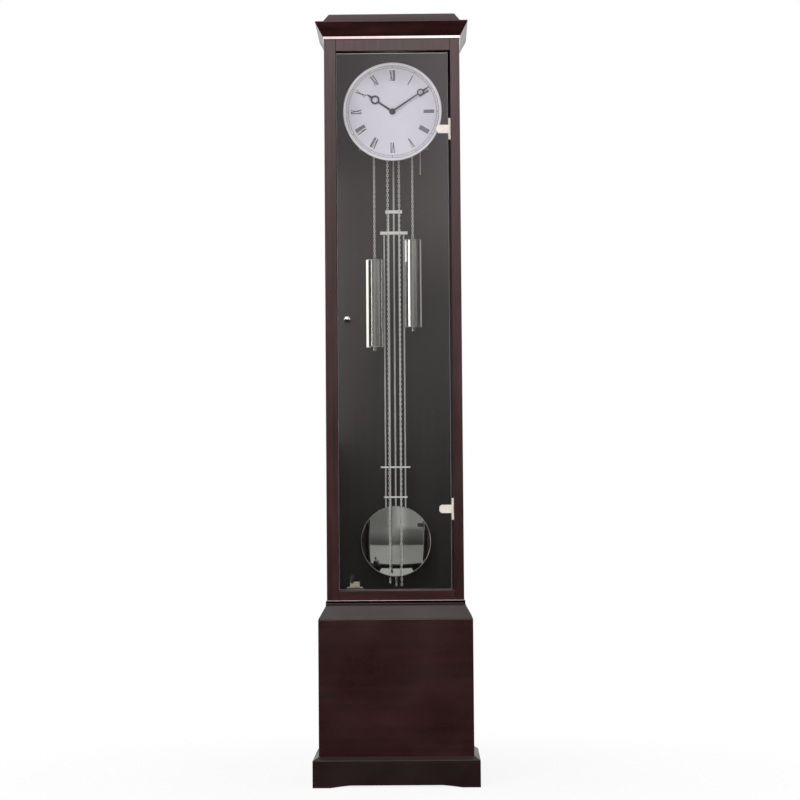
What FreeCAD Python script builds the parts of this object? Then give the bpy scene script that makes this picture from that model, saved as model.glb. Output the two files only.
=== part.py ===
import FreeCAD, Part
import math
import os

# A tall, straight longcase clock in dark stained wood. A frameless glass door covers the whole trunk.
# Behind it hang a gridiron pendulum and two chain-driven weights under a round enamel dial.
# Millimetres, +Z up, the front faces -Y. The origin is on the floor, in the middle of the outline.

V = FreeCAD.Vector

# Heights of the case, from the floor up.
base_height = 408.0
collar_slope_height = 32.0
collar_neck_height = 6.5
trim_height = 7.0
bottom_rail_face = 24.5
opening_height = 1341.0
top_rail_face = 30.0
cornice_slope_height = 32.0
cornice_fascia_height = 3.0
cap_height = 24.0
plinth_height = 75.0
plinth_bevel_height = 9.0

# Widths and depth of the case.
case_depth = 255.0
plinth_width = 410.0
plinth_reach = 15.0
base_reach = 21.0
moulding_neck_reach = 3.0
trim_reach = 2.7
cap_inset = 16.0
cap_bevel = 17.0

# Plinth feet: a shallow arch leaves a foot at each corner.
foot_height = 6.0
front_foot_width = 45.0
front_arch_run = 48.0
side_foot_width = 40.0
side_arch_run = 36.0

# Boards of the case.
side_panel_thickness = 18.0
back_panel_thickness = 9.0
back_rebate = 9.0
front_frame_thickness = 20.0
left_stile_width = 29.5
right_stile_width = 23.5
panel_lift = 9.0
trunk_foot_height = 300.0
rail_tail = 98.0
floor_board_height = 20.0
floor_board_thickness = 18.0
top_board_thickness = 18.0

# Glass door, its hinges, knob and catch.
glass_thickness = 5.0
glass_setback = 4.0
glass_left_gap = 1.0
glass_right_gap = 6.5
glass_bottom_gap = 2.0
glass_top_gap = 5.0
lower_hinge_inset = 197.0
upper_hinge_inset = 192.0
hinge_knuckle_radius = 2.2
hinge_knuckle_gap = 0.3
hinge_leaf_height = 53.0
hinge_leaf_depth = 20.0
hinge_plate_thickness = 1.0
hinge_pin_radius = 1.0
clamp_reach = 32.3
clamp_height = 20.5
clamp_plate = 1.5
clamp_corner = 5.0
knuckle_gap = 0.2
knob_drop = 667.0
knob_inset = 23.5
knob_radius = 8.5
knob_crown = 3.5
knob_head = 5.0
knob_neck_radius = 5.5
knob_neck = 6.0
knob_stem_radius = 3.0
knob_stem_clearance = 0.2
knob_nut_radius = 6.0
knob_nut_thickness = 3.0
strike_inset = 31.0
strike_rise = 29.0
strike_radius = 6.0
strike_thickness = 2.0
strike_tongue_width = 7.0
strike_tongue_length = 14.0
strike_tongue_thickness = 1.0
catch_width = 23.6
catch_height = 13.0
catch_depth = 20.0
catch_gap = 0.3
catch_offset = 7.0
catch_rise = 8.0
catch_flange_width = 38.0
catch_flange_thickness = 3.0
catch_flange_depth = 16.0
catch_flange_setback = 14.0
magnet_width = 14.0
magnet_height = 4.0
magnet_proud = 0.1
magnet_depth = 6.0
catch_block_width = 44.0
catch_block_height = 30.0
catch_block_depth = 26.0

# Dial and hands.
dial_drop = 139.0
dial_setback = 75.0
dial_side_gap = 26.0
dial_plate_thickness = 1.5
dial_hole_radius = 6.5
dial_foot_radius = 2.5
dial_foot_spread = 50.0
dial_foot_rise = 52.0
bezel_band = 7.0
bezel_proud = 5.0
bezel_lip = 1.5
bezel_back = 3.0
hand_thickness = 0.8
hour_hand_share = 0.6525
hour_hand_ring_share = 0.449
hour_hand_ring_radius = 10.9
hour_hand_ring_band = 3.4
hour_hand_root_width = 4.6
hour_hand_tip_width = 1.2
hour_hand_hub_radius = 7.5
minute_hand_share = 0.949
minute_hand_ring_share = 0.7255
minute_hand_ring_radius = 8.8
minute_hand_ring_band = 2.8
minute_hand_root_width = 4.0
minute_hand_tip_width = 1.0
minute_hand_hub_radius = 6.0
hour_hand_degrees = 304.5
minute_hand_degrees = 56.4
hour_hand_ahead = 3.2
minute_hand_ahead = 6.0
hand_fit = 0.05
hand_nut_radius = 3.6
hand_nut_thickness = 2.2

# Movement: two brass plates on four pillars, standing on the seat board.
movement_half_width = 64.0
movement_drop = 78.0
movement_rise = 62.0
front_plate_behind_dial = 15.5
plate_thickness = 2.5
plate_gap = 35.5
pillar_radius = 4.0
pillar_inset = 7.0
pillar_foot_inset = 9.0
pivot_clearance = 0.05
end_shake = 0.2
arbor_radius = 1.5
thin_arbor_radius = 1.2
seat_half_width = 74.0
seat_thickness = 12.0
seat_front_behind_dial = 13.0
seat_depth = 50.0
seat_chain_hole_radius = 5.5
bracket_thickness = 3.0
bracket_overlap = 40.0
bracket_heel_height = 90.0
bracket_toe_height = 14.0
bracket_rise = 14.0
bracket_foot_width = 16.0

# Chains and their sprockets.
sprocket_spread = 31.5
sprocket_drop = 35.0
sprocket_pitch_radius = 17.0
sprocket_flange_radius = 20.5
sprocket_flange_thickness = 1.2
sprocket_drum_gap = 0.3
sprocket_side_gap = 0.4
ratchet_teeth = 16
ratchet_radius = 12.0
ratchet_root_radius = 10.0
ratchet_thickness = 2.0
chain_behind_dial = 37.0
link_width = 5.2
link_length = 9.2
link_wire = 1.4
link_gap = 0.1

# Weights.
weight_radius = 23.0
weight_wall = 0.8
weight_length = 223.0
weight_cap_lip = 0.7
weight_cap_thickness = 3.0
weight_fit = 0.1
weight_stem_radius = 2.5
weight_stem_rise = 4.0
weight_eye_radius = 3.6
weight_eye_hole_radius = 2.0
weight_eye_thickness = 1.6
weight_nut_radius = 4.5
weight_nut_height = 8.0
time_weight_drop = 287.0
strike_weight_drop = 337.0
time_tail_drop = 1161.0
strike_tail_drop = 1134.0
chain_drop_length = 20.0
chain_drop_radius = 4.0
chain_drop_neck_radius = 0.9

# Wheel train. Each wheel names its teeth, its module and its place between the plates.
wheel_thickness = 2.0
great_wheel_thickness = 2.5
great_teeth = 48
great_pinion_teeth = 8
great_module = 1.1
second_teeth = 48
second_pinion_teeth = 8
second_module = 1.0
centre_teeth = 48
centre_pinion_teeth = 6
centre_module = 0.7
third_teeth = 45
third_pinion_teeth = 6
third_module = 0.65
cannon_teeth = 10
minute_wheel_teeth = 30
minute_pinion_teeth = 8
hour_wheel_teeth = 32
motion_centres = 18.0
strike_second_module = 0.75
strike_pin_teeth = 40
strike_pin_pinion_teeth = 8
strike_pin_module = 0.6
strike_fly_pinion_teeth = 6
tooth_tip_share = 0.9
tooth_root_share = 1.3
great_wheel_place = 7.0
second_wheel_place = 26.5
centre_wheel_place = 2.5
third_wheel_place = 30.5
escape_wheel_place = 20.5
strike_pin_wheel_place = 10.5
pinion_overhang = 1.0
great_arbor_radius = 2.5
strike_second_bearing = 110.0
strike_pin_bearing = 69.5
strike_fly_bearing = 114.0
escape_teeth = 30
escape_radius = 12.5
escape_tooth_depth = 2.4
escape_wheel_thickness = 1.5
pallet_gap = 0.9
pallet_width = 2.0
pallet_length = 3.4
pallet_arm_width = 3.0
pivot_rise = 42.0
fly_half_span = 9.0
fly_length = 15.0
fly_thickness = 0.6
fly_place = 15.0
lifting_point_count = 8
lifting_star_radius = 10.0
lifting_star_root_radius = 5.5
lifting_star_gap = 2.0
lifting_star_thickness = 2.0
motion_wheel_thickness = 2.0
cannon_ahead_of_plate = 1.0
hour_wheel_ahead_of_plate = 5.5
centre_pipe_radius = 2.3
hour_pipe_radius = 3.5
minute_stud_radius = 1.2
minute_stud_length = 9.0

# Suspension, crutch and pendulum.
pendulum_behind_dial = 85.0
cock_half_width = 12.0
cock_rise = 6.0
cock_thickness = 6.0
cock_flange_height = 14.0
cock_flange_thickness = 3.0
cock_overhang = 8.0
spring_half_length = 6.0
spring_width = 8.0
spring_thickness = 0.4
chops_half_width = 4.0
chops_height = 8.0
chops_depth = 10.0
strap_half_width = 3.0
strap_thickness = 4.0
strap_drop = 82.0
crutch_behind_plate = 12.5
crutch_width = 4.0
crutch_thickness = 2.0
crutch_drop = 57.0
crutch_prong = 1.5
crutch_gap = 0.3
crutch_fork_height = 4.0
rod_radius = 2.2
inner_rod_spread = 13.4
outer_rod_spread = 25.0
upper_bar_drop = 285.0
upper_bar_width = 42.5
upper_bar_height = 7.7
second_bar_drop = 339.4
second_bar_width = 70.0
second_bar_height = 7.5
third_bar_gap = 72.0
third_bar_width = 75.0
third_bar_height = 4.0
lowest_bar_gap = 20.5
lowest_bar_width = 60.0
lowest_bar_height = 4.0
bar_depth = 6.5
bar_fit = 0.05
bob_drop = 1126.0
bob_radius = 89.5
bob_crown_radius = 300.0
bob_rim = 16.0
bob_shell = 1.2
bob_fit = 0.1
bob_pocket_rise = 54.0
bob_pocket_depth = 9.0
bob_pocket_margin = 3.0
bob_rod_clearance = 0.1
rod_end_rise = 62.0
rod_tail_drop = 114.0
nut_radius = 6.0
nut_height = 14.0
nut_gap = 0.2

# Rod gong and hammer.
gong_rod_x = 69.0
gong_rod_radius = 1.5
gong_rod_drop = 149.0
gong_behind_plate = 17.5
gong_block_rise = 42.0
gong_block_width = 28.0
gong_block_left = 7.0
gong_block_height = 24.0
gong_block_depth = 20.0
gong_post_width = 14.0
hammer_x = 57.0
hammer_rise = 45.0
hammer_stud_radius = 1.5
hammer_hub_radius = 3.0
hammer_hub_gap = 1.0
hammer_head_radius = 5.5
hammer_head_length = 11.0
hammer_head_drop = 35.0
hammer_gap = 1.2
hammer_arm_width = 4.0
hammer_arm_thickness = 2.0
hammer_tail_width = 3.0
hammer_tail_gap = 0.8

# Levels of the case.
plinth_shoulder_z = plinth_height - plinth_bevel_height
collar_neck_z = base_height + collar_slope_height
lower_trim_z = collar_neck_z + collar_neck_height
bottom_rail_z = lower_trim_z + trim_height
opening_bottom_z = bottom_rail_z + bottom_rail_face
opening_top_z = opening_bottom_z + opening_height
upper_trim_z = opening_top_z + top_rail_face
cornice_z = upper_trim_z + trim_height
fascia_z = cornice_z + cornice_slope_height
cap_z = fascia_z + cornice_fascia_height
case_top_z = cap_z + cap_height

# Faces of the case.
case_back = case_depth / 2
plinth_front = -case_depth / 2
plinth_half = plinth_width / 2
base_front = plinth_front + plinth_reach
base_half = plinth_half - plinth_reach
trunk_front = base_front + base_reach
trunk_half = base_half - base_reach
trunk_inner_half = trunk_half - side_panel_thickness
frame_back = trunk_front + front_frame_thickness
opening_left = -trunk_half + left_stile_width
opening_right = trunk_half - right_stile_width
back_panel_front = case_back - back_panel_thickness

# The dial fills the trunk, and the hands follow its open face.
bezel_outer_radius = trunk_inner_half - dial_side_gap
bezel_inner_radius = bezel_outer_radius - bezel_band
dial_plate_radius = (bezel_outer_radius + bezel_inner_radius) / 2
hour_hand_length = bezel_inner_radius * hour_hand_share
hour_hand_ring_place = bezel_inner_radius * hour_hand_ring_share
minute_hand_length = bezel_inner_radius * minute_hand_share
minute_hand_ring_place = bezel_inner_radius * minute_hand_ring_share

# Places of the movement.
dial_z = opening_top_z - dial_drop
dial_front = trunk_front + dial_setback
dial_back = dial_front + dial_plate_thickness
front_plate_front = dial_back + front_plate_behind_dial
front_plate_back = front_plate_front + plate_thickness
back_plate_front = front_plate_back + plate_gap
back_plate_back = back_plate_front + plate_thickness
seat_top_z = dial_z - movement_drop
movement_top_z = dial_z + movement_rise
sprocket_z = dial_z - sprocket_drop
chain_y = dial_front + chain_behind_dial
pivot_z = dial_z + pivot_rise
pendulum_y = dial_front + pendulum_behind_dial
gong_y = back_plate_back + gong_behind_plate

# Places of the door.
glass_front = trunk_front + glass_setback
glass_back = glass_front + glass_thickness
glass_left = opening_left + glass_left_gap
glass_right = opening_right - glass_right_gap
glass_bottom_z = opening_bottom_z + glass_bottom_gap
glass_top_z = opening_top_z - glass_top_gap
hinge_x = opening_right - hinge_plate_thickness - hinge_knuckle_gap - hinge_knuckle_radius
hinge_y = glass_front - hinge_knuckle_gap - hinge_knuckle_radius


def save(name, *solids):
    """Write one sub-part, with one or more separate solids, to its own file."""
    solids = list(solids)
    shape = solids[0] if len(solids) == 1 else Part.makeCompound(solids)
    shape.exportStep("parts/" + name + ".step")
    print(name, len(shape.Solids), "solids", "ok" if shape.isValid() else "NOT VALID")


def box(x0, x1, y0, y1, z0, z1):
    return Part.makeBox(x1 - x0, y1 - y0, z1 - z0, V(x0, y0, z0))


def rod_x(x0, x1, y, z, radius):
    return Part.makeCylinder(radius, x1 - x0, V(x0, y, z), V(1, 0, 0))


def rod_y(x, z, y0, y1, radius):
    return Part.makeCylinder(radius, y1 - y0, V(x, y0, z), V(0, 1, 0))


def rod_z(x, y, z0, z1, radius):
    return Part.makeCylinder(radius, z1 - z0, V(x, y, z0), V(0, 0, 1))


def joined(first, *others):
    """Fuse pieces of one solid and drop the seams between them."""
    return first.fuse(list(others)).removeSplitter()


def face_of(points):
    return Part.Face(Part.makePolygon(list(points) + [points[0]]))


def plate_xz(points, y0, y1):
    """A flat plate cut to an outline seen from the front."""
    return face_of([V(x, y0, z) for x, z in points]).extrude(V(0, y1 - y0, 0))


def plate_yz(points, x0, x1):
    """A flat plate cut to an outline seen from the side."""
    return face_of([V(x0, y, z) for y, z in points]).extrude(V(x1 - x0, 0, 0))


def turned(points, x, y, z, axis):
    """A turned piece: points are (radius, place along the axis)."""
    across = V(1, 0, 0) if axis.x == 0 else V(0, 0, 1)
    centre = V(x, y, z)
    outline = [centre + across * radius + axis * place for radius, place in points]
    return face_of(outline).revolve(centre, axis, 360)


def mirrored(shape):
    return shape.mirror(V(0, 0, 0), V(1, 0, 0))


def mitred_runs(profile, half_width, front, back, reach):
    """Moulding round the front and both sides: profile points are (reach outwards, height)."""
    wide = half_width + reach
    front_face = face_of([V(-wide, front - out, z) for out, z in profile])
    side_face = face_of([V(half_width + out, front - reach, z) for out, z in profile])
    levels = [z for _, z in profile]
    low, high = min(levels), max(levels)
    front_plan = face_of([
        V(-half_width, front, low),
        V(half_width, front, low),
        V(wide, front - reach, low),
        V(-wide, front - reach, low),
    ])
    side_plan = face_of([
        V(half_width, front, low),
        V(wide, front - reach, low),
        V(wide, back, low),
        V(half_width, back, low),
    ])
    rise = V(0, 0, high - low)
    front_run = front_face.extrude(V(2 * wide, 0, 0)).common(front_plan.extrude(rise))
    side_run = side_face.extrude(V(0, back - front + reach, 0)).common(side_plan.extrude(rise))
    return front_run.Solids[0], side_run.Solids[0], mirrored(side_run.Solids[0])


def arch_face(start, end, height, run, place):
    """The shallow arch under a plinth board, from start to end; place(along, z) makes its points."""
    run_share = 0.45
    knee = run * run_share
    knee_z = height * (1 - run_share)
    left = Part.Arc(place(start, 0), place(start + knee, knee_z), place(start + run, height))
    right = Part.Arc(place(end - run, height), place(end - knee, knee_z), place(end, 0))
    crown = Part.LineSegment(place(start + run, height), place(end - run, height))
    floor = Part.LineSegment(place(end, 0), place(start, 0))
    return Part.Face(Part.Wire([left.toShape(), crown.toShape(), right.toShape(), floor.toShape()]))


def front_point(along, z):
    return V(along, plinth_front, z)


def side_point(along, z):
    return V(base_half, along, z)


def make_case():
    plinth_profile = [
        (0, 0),
        (plinth_reach, 0),
        (plinth_reach, plinth_shoulder_z),
        (0, plinth_height),
    ]
    front, right, left = mitred_runs(plinth_profile, base_half, base_front, case_back, plinth_reach)
    front_start = plinth_half - front_foot_width
    arch = arch_face(-front_start, front_start, foot_height, front_arch_run, front_point)
    arch = arch.extrude(V(0, plinth_reach, 0))
    front = front.cut(arch)
    side_start = plinth_front + side_foot_width
    side_end = case_back - side_foot_width
    arch = arch_face(side_start, side_end, foot_height, side_arch_run, side_point)
    arch = arch.extrude(V(plinth_reach, 0, 0))
    right = right.cut(arch)
    left = left.cut(mirrored(arch))
    save("plinth_boards", front, right, left)

    panel = box(-base_half, base_half, base_front, trunk_front, panel_lift, base_height)
    save("base_front_panel", panel)
    side = box(trunk_half, base_half, trunk_front, case_back, panel_lift, base_height)
    save("base_side_panels", side, mirrored(side))

    floor_top = floor_board_height + floor_board_thickness
    floor_board = box(-trunk_half, trunk_half, trunk_front, back_panel_front, floor_board_height, floor_top)
    top_board_z = cap_z - top_board_thickness
    top_board = box(-trunk_inner_half, trunk_inner_half, frame_back, back_panel_front, top_board_z, cap_z)
    catch_centre = glass_left + strike_inset + catch_offset
    catch_top_z = opening_bottom_z + catch_rise - catch_flange_thickness
    catch_block = box(
        catch_centre - catch_block_width / 2,
        catch_centre + catch_block_width / 2,
        frame_back,
        frame_back + catch_block_depth,
        catch_top_z - catch_block_height,
        catch_top_z,
    )
    save("inner_boards", floor_board, top_board, catch_block)

    rebate_half = trunk_inner_half + back_rebate
    base_back = box(-trunk_half, trunk_half, back_panel_front, case_back, panel_lift, trunk_foot_height)
    trunk_back = box(-rebate_half, rebate_half, back_panel_front, case_back, trunk_foot_height, cap_z)
    save("back_panels", base_back, trunk_back)

    collar_profile = [
        (0, base_height),
        (base_reach, base_height),
        (moulding_neck_reach, collar_neck_z),
        (moulding_neck_reach, lower_trim_z),
        (0, lower_trim_z),
    ]
    save("collar_moulding", *mitred_runs(collar_profile, trunk_half, trunk_front, case_back, base_reach))

    bands = []
    for level in (lower_trim_z, upper_trim_z):
        top = level + trim_height
        band_profile = [(0, level), (trim_reach, level), (trim_reach, top), (0, top)]
        bands += mitred_runs(band_profile, trunk_half, trunk_front, case_back, trim_reach)
    save("trim_bands", *bands)

    left_stile = box(-trunk_half, opening_left, trunk_front, frame_back, trunk_foot_height, cap_z)
    right_stile = box(opening_right, trunk_half, trunk_front, frame_back, trunk_foot_height, cap_z)
    rail_bottom_z = opening_bottom_z - rail_tail
    bottom_rail = box(opening_left, opening_right, trunk_front, frame_back, rail_bottom_z, opening_bottom_z)
    top_rail = box(opening_left, opening_right, trunk_front, frame_back, opening_top_z, cap_z)
    save("front_frame", left_stile, right_stile, bottom_rail, top_rail)

    side = box(trunk_inner_half, trunk_half, frame_back, case_back, trunk_foot_height, cap_z)
    rebate = box(trunk_inner_half, rebate_half, back_panel_front, case_back, trunk_foot_height, cap_z)
    side = side.cut(rebate)
    save("trunk_side_panels", side, mirrored(side))

    cornice_profile = [
        (0, cornice_z),
        (moulding_neck_reach, cornice_z),
        (base_reach, fascia_z),
        (base_reach, cap_z),
        (0, cap_z),
    ]
    save("cornice_moulding", *mitred_runs(cornice_profile, trunk_half, trunk_front, case_back, base_reach))

    low_half = base_half - cap_inset
    low_front = base_front + cap_inset
    high_half = low_half - cap_bevel
    high_front = low_front + cap_bevel
    low = [V(-low_half, low_front, cap_z), V(low_half, low_front, cap_z)]
    low += [V(low_half, case_back, cap_z), V(-low_half, case_back, cap_z)]
    high = [V(-high_half, high_front, case_top_z), V(high_half, high_front, case_top_z)]
    high += [V(high_half, case_back, case_top_z), V(-high_half, case_back, case_top_z)]
    rings = [Part.makePolygon(ring + [ring[0]]) for ring in (low, high)]
    save("top_cap", Part.makeLoft(rings, True, True))


def make_door():
    glass = box(glass_left, glass_right, glass_front, glass_back, glass_bottom_z, glass_top_z)
    knob_x = glass_left + knob_inset
    knob_z = glass_top_z - knob_drop
    hole_radius = knob_stem_radius + knob_stem_clearance
    glass = glass.cut(rod_y(knob_x, knob_z, glass_front, glass_back, hole_radius))
    save("door_glass", glass)

    knob_front = -knob_neck - knob_head
    half_crown_share = 0.7
    knob = turned(
        [
            (0, glass_thickness + knob_nut_thickness),
            (knob_nut_radius, glass_thickness + knob_nut_thickness),
            (knob_nut_radius, glass_thickness),
            (knob_stem_radius, glass_thickness),
            (knob_stem_radius, 0),
            (knob_neck_radius, 0),
            (knob_neck_radius, -knob_neck),
            (knob_radius, -knob_neck),
            (knob_radius, knob_front),
            (knob_radius * half_crown_share, knob_front - knob_crown * half_crown_share),
            (0, knob_front - knob_crown),
        ],
        knob_x,
        glass_front,
        knob_z,
        V(0, 1, 0),
    )
    save("door_knob", knob)

    strike_x = glass_left + strike_inset
    strike_z = glass_bottom_z + strike_rise
    disc = rod_y(strike_x, strike_z, glass_back, glass_back + strike_thickness, strike_radius)
    tongue = box(
        strike_x - strike_tongue_width / 2,
        strike_x + strike_tongue_width / 2,
        glass_back,
        glass_back + strike_tongue_thickness,
        strike_z - strike_tongue_length,
        strike_z,
    )
    save("door_strike", joined(disc, tongue))

    clamps = []
    leaves = []
    for z in (glass_bottom_z + lower_hinge_inset, glass_top_z - upper_hinge_inset):
        clamps.append(make_clamp(z))
        leaves.append(make_hinge_leaf(z))
    save("door_hinge_clamps", *clamps)
    save("door_hinge_leaves", *leaves)


def make_clamp(z):
    """The hinge half on the glass: two plates either side of the pane, a web and the middle knuckle."""
    left = hinge_x - clamp_reach
    front = glass_front - clamp_plate
    back = glass_back + clamp_plate
    right = glass_right + clamp_plate
    half = clamp_height / 2
    outline = [
        (left + clamp_corner, z - half),
        (right, z - half),
        (right, z + half),
        (left + clamp_corner, z + half),
        (left, z + half - clamp_corner),
        (left, z - half + clamp_corner),
    ]
    body = plate_xz(outline, front, back)
    pane = box(left, glass_right, glass_front, glass_back, z - half, z + half)
    body = body.cut(pane)
    knuckle = rod_z(hinge_x, hinge_y, z - half, z + half, hinge_knuckle_radius)
    neck = box(glass_right, hinge_x, hinge_y, glass_front, z - half, z + half)
    bore = rod_z(hinge_x, hinge_y, z - half, z + half, hinge_pin_radius + pivot_clearance)
    return joined(body, knuckle, neck).cut(bore)


def make_hinge_leaf(z):
    """The hinge half on the stile: a plate let into it, two outer knuckles and the pin."""
    half = hinge_leaf_height / 2
    inner = clamp_height / 2 + knuckle_gap
    front = hinge_y - hinge_plate_thickness / 2
    plate_left = opening_right - hinge_plate_thickness
    plate = box(plate_left, opening_right, front, trunk_front + hinge_leaf_depth, z - half, z + half)
    pin = rod_z(hinge_x, hinge_y, z - inner, z + inner, hinge_pin_radius)
    pieces = [pin]
    for low, high in ((z - half, z - inner), (z + inner, z + half)):
        pieces.append(rod_z(hinge_x, hinge_y, low, high, hinge_knuckle_radius))
        pieces.append(box(hinge_x, plate_left, front, front + hinge_plate_thickness, low, high))
    return joined(plate, *pieces)


def make_catch():
    centre = glass_left + strike_inset + catch_offset
    front = glass_back + strike_tongue_thickness + catch_gap
    low = opening_bottom_z + catch_rise
    reach = catch_width / 2
    block = box(centre - reach, centre + reach, front, front + catch_depth, low, low + catch_height)
    flange_front = trunk_front + catch_flange_setback
    flange = box(
        centre - catch_flange_width / 2,
        centre + catch_flange_width / 2,
        flange_front,
        flange_front + catch_flange_depth,
        low - catch_flange_thickness,
        low,
    )
    magnet = box(
        centre - magnet_width / 2,
        centre + magnet_width / 2,
        front - magnet_proud,
        front + magnet_depth,
        low + (catch_height - magnet_height) / 2,
        low + (catch_height + magnet_height) / 2,
    )
    save("door_magnet_catch", joined(block, flange).cut(magnet), magnet)


def make_dial():
    plate = rod_y(0, dial_z, dial_front, dial_back, dial_plate_radius)
    plate = plate.cut(rod_y(0, dial_z, dial_front, dial_back, dial_hole_radius))
    feet = []
    for x in (-dial_foot_spread, dial_foot_spread):
        for z in (dial_z - dial_foot_rise, dial_z + dial_foot_rise):
            feet.append(rod_y(x, z, dial_back, front_plate_front, dial_foot_radius))
    save("dial_plate", joined(plate, *feet))

    crown = (bezel_outer_radius + bezel_inner_radius) / 2
    bezel = turned(
        [
            (bezel_inner_radius, 0),
            (bezel_inner_radius, -bezel_lip),
            (crown, -bezel_proud),
            (bezel_outer_radius, -bezel_lip),
            (bezel_outer_radius, bezel_back),
            (dial_plate_radius, bezel_back),
            (dial_plate_radius, 0),
        ],
        0,
        dial_front,
        dial_z,
        V(0, 1, 0),
    )
    save("dial_bezel", bezel)


def make_hand(length, ring_place, ring_radius, ring_band, root, tip, hub, bore, y0, degrees):
    """A moon hand: a tapering stem, a ring near its end and a pointed tip, pointing up and then turned."""
    y1 = y0 + hand_thickness
    waist = (root + tip) / 2
    ring_low = ring_place - ring_radius + ring_band / 2
    ring_high = ring_place + ring_radius - ring_band / 2
    stem = plate_xz([(-root / 2, 0), (root / 2, 0), (waist / 2, ring_low), (-waist / 2, ring_low)], y0, y1)
    point = plate_xz(
        [(-waist, ring_high), (waist, ring_high), (tip / 2, length), (-tip / 2, length)], y0, y1
    )
    ring = rod_y(0, ring_place, y0, y1, ring_radius)
    ring = ring.cut(rod_y(0, ring_place, y0, y1, ring_radius - ring_band))
    hand = joined(rod_y(0, 0, y0, y1, hub), stem, ring, point).cut(rod_y(0, 0, y0, y1, bore))
    hand.rotate(V(0, 0, 0), V(0, 1, 0), degrees)
    hand.translate(V(0, 0, dial_z))
    return hand


def gear_face(teeth, module, x, z, y, phase):
    """A toothed outline seen from the front, one flank up and one flank down for each tooth."""
    pitch_radius = teeth * module / 2
    tip = pitch_radius + module * tooth_tip_share
    root = pitch_radius - module * tooth_root_share
    gap_share = 0.5
    points = []
    for index in range(teeth):
        for radius, part in ((tip, 0), (root, gap_share)):
            angle = phase + 2 * math.pi * (index + part) / teeth
            points.append(V(x + radius * math.cos(angle), y, z + radius * math.sin(angle)))
    return face_of(points)


def gear(teeth, module, place, y0, y1, phase):
    return gear_face(teeth, module, place[0], place[1], y0, phase).extrude(V(0, y1 - y0, 0))


def mesh_phase(phase, teeth, from_place, next_teeth, next_place):
    """Phase of the next gear so that its gap meets the tooth of the first on the line of centres."""
    bearing = math.atan2(next_place[1] - from_place[1], next_place[0] - from_place[0])
    pitch = 2 * math.pi / teeth
    past = (bearing - phase) % pitch
    return bearing + math.pi + past * teeth / next_teeth + math.pi / next_teeth


def meeting_place(first, first_radius, second, second_radius, side):
    """The point at the given distances from two others, on the chosen side of their line."""
    dx, dz = second[0] - first[0], second[1] - first[1]
    span = math.hypot(dx, dz)
    along = (first_radius**2 - second_radius**2 + span**2) / (2 * span)
    off = math.sqrt(first_radius**2 - along**2) * side
    return (first[0] + (dx * along - dz * off) / span, first[1] + (dz * along + dx * off) / span)


def polar_place(first, radius, degrees):
    angle = math.radians(degrees)
    return (first[0] + radius * math.cos(angle), first[1] + radius * math.sin(angle))


def centres(teeth, pinion_teeth, module):
    return (teeth + pinion_teeth) * module / 2


# Places of the arbors, seen from the front.
centre_place = (0, dial_z)
time_great_place = (sprocket_spread, sprocket_z)
strike_great_place = (-sprocket_spread, sprocket_z)
great_span = centres(great_teeth, great_pinion_teeth, great_module)
second_span = centres(second_teeth, second_pinion_teeth, second_module)
time_second_place = meeting_place(time_great_place, great_span, centre_place, second_span, -1)
pallet_place = (0, pivot_z)
escape_place = (0, pivot_z - escape_radius * math.sqrt(2))
centre_span = centres(centre_teeth, centre_pinion_teeth, centre_module)
third_span = centres(third_teeth, third_pinion_teeth, third_module)
third_place = meeting_place(centre_place, centre_span, escape_place, third_span, 1)
strike_second_place = polar_place(strike_great_place, great_span, strike_second_bearing)
strike_second_span = centres(second_teeth, strike_pin_pinion_teeth, strike_second_module)
strike_pin_place = polar_place(strike_second_place, strike_second_span, strike_pin_bearing)
strike_fly_span = centres(strike_pin_teeth, strike_fly_pinion_teeth, strike_pin_module)
strike_fly_place = polar_place(strike_pin_place, strike_fly_span, strike_fly_bearing)
hammer_place = (hammer_x, dial_z + hammer_rise)
minute_place = (motion_centres / math.sqrt(2), dial_z - motion_centres / math.sqrt(2))


def arbor(place, radius, front, back):
    return rod_y(place[0], place[1], front, back, radius)


def wheel_and_pinion(wheel, pinion, radius, front, back):
    """A wheel and its pinion on one arbor; each is (teeth, module, place, near face, far face, phase)."""
    return joined(gear(*wheel), gear(*pinion), arbor(wheel[2], radius, front, back))


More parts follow.
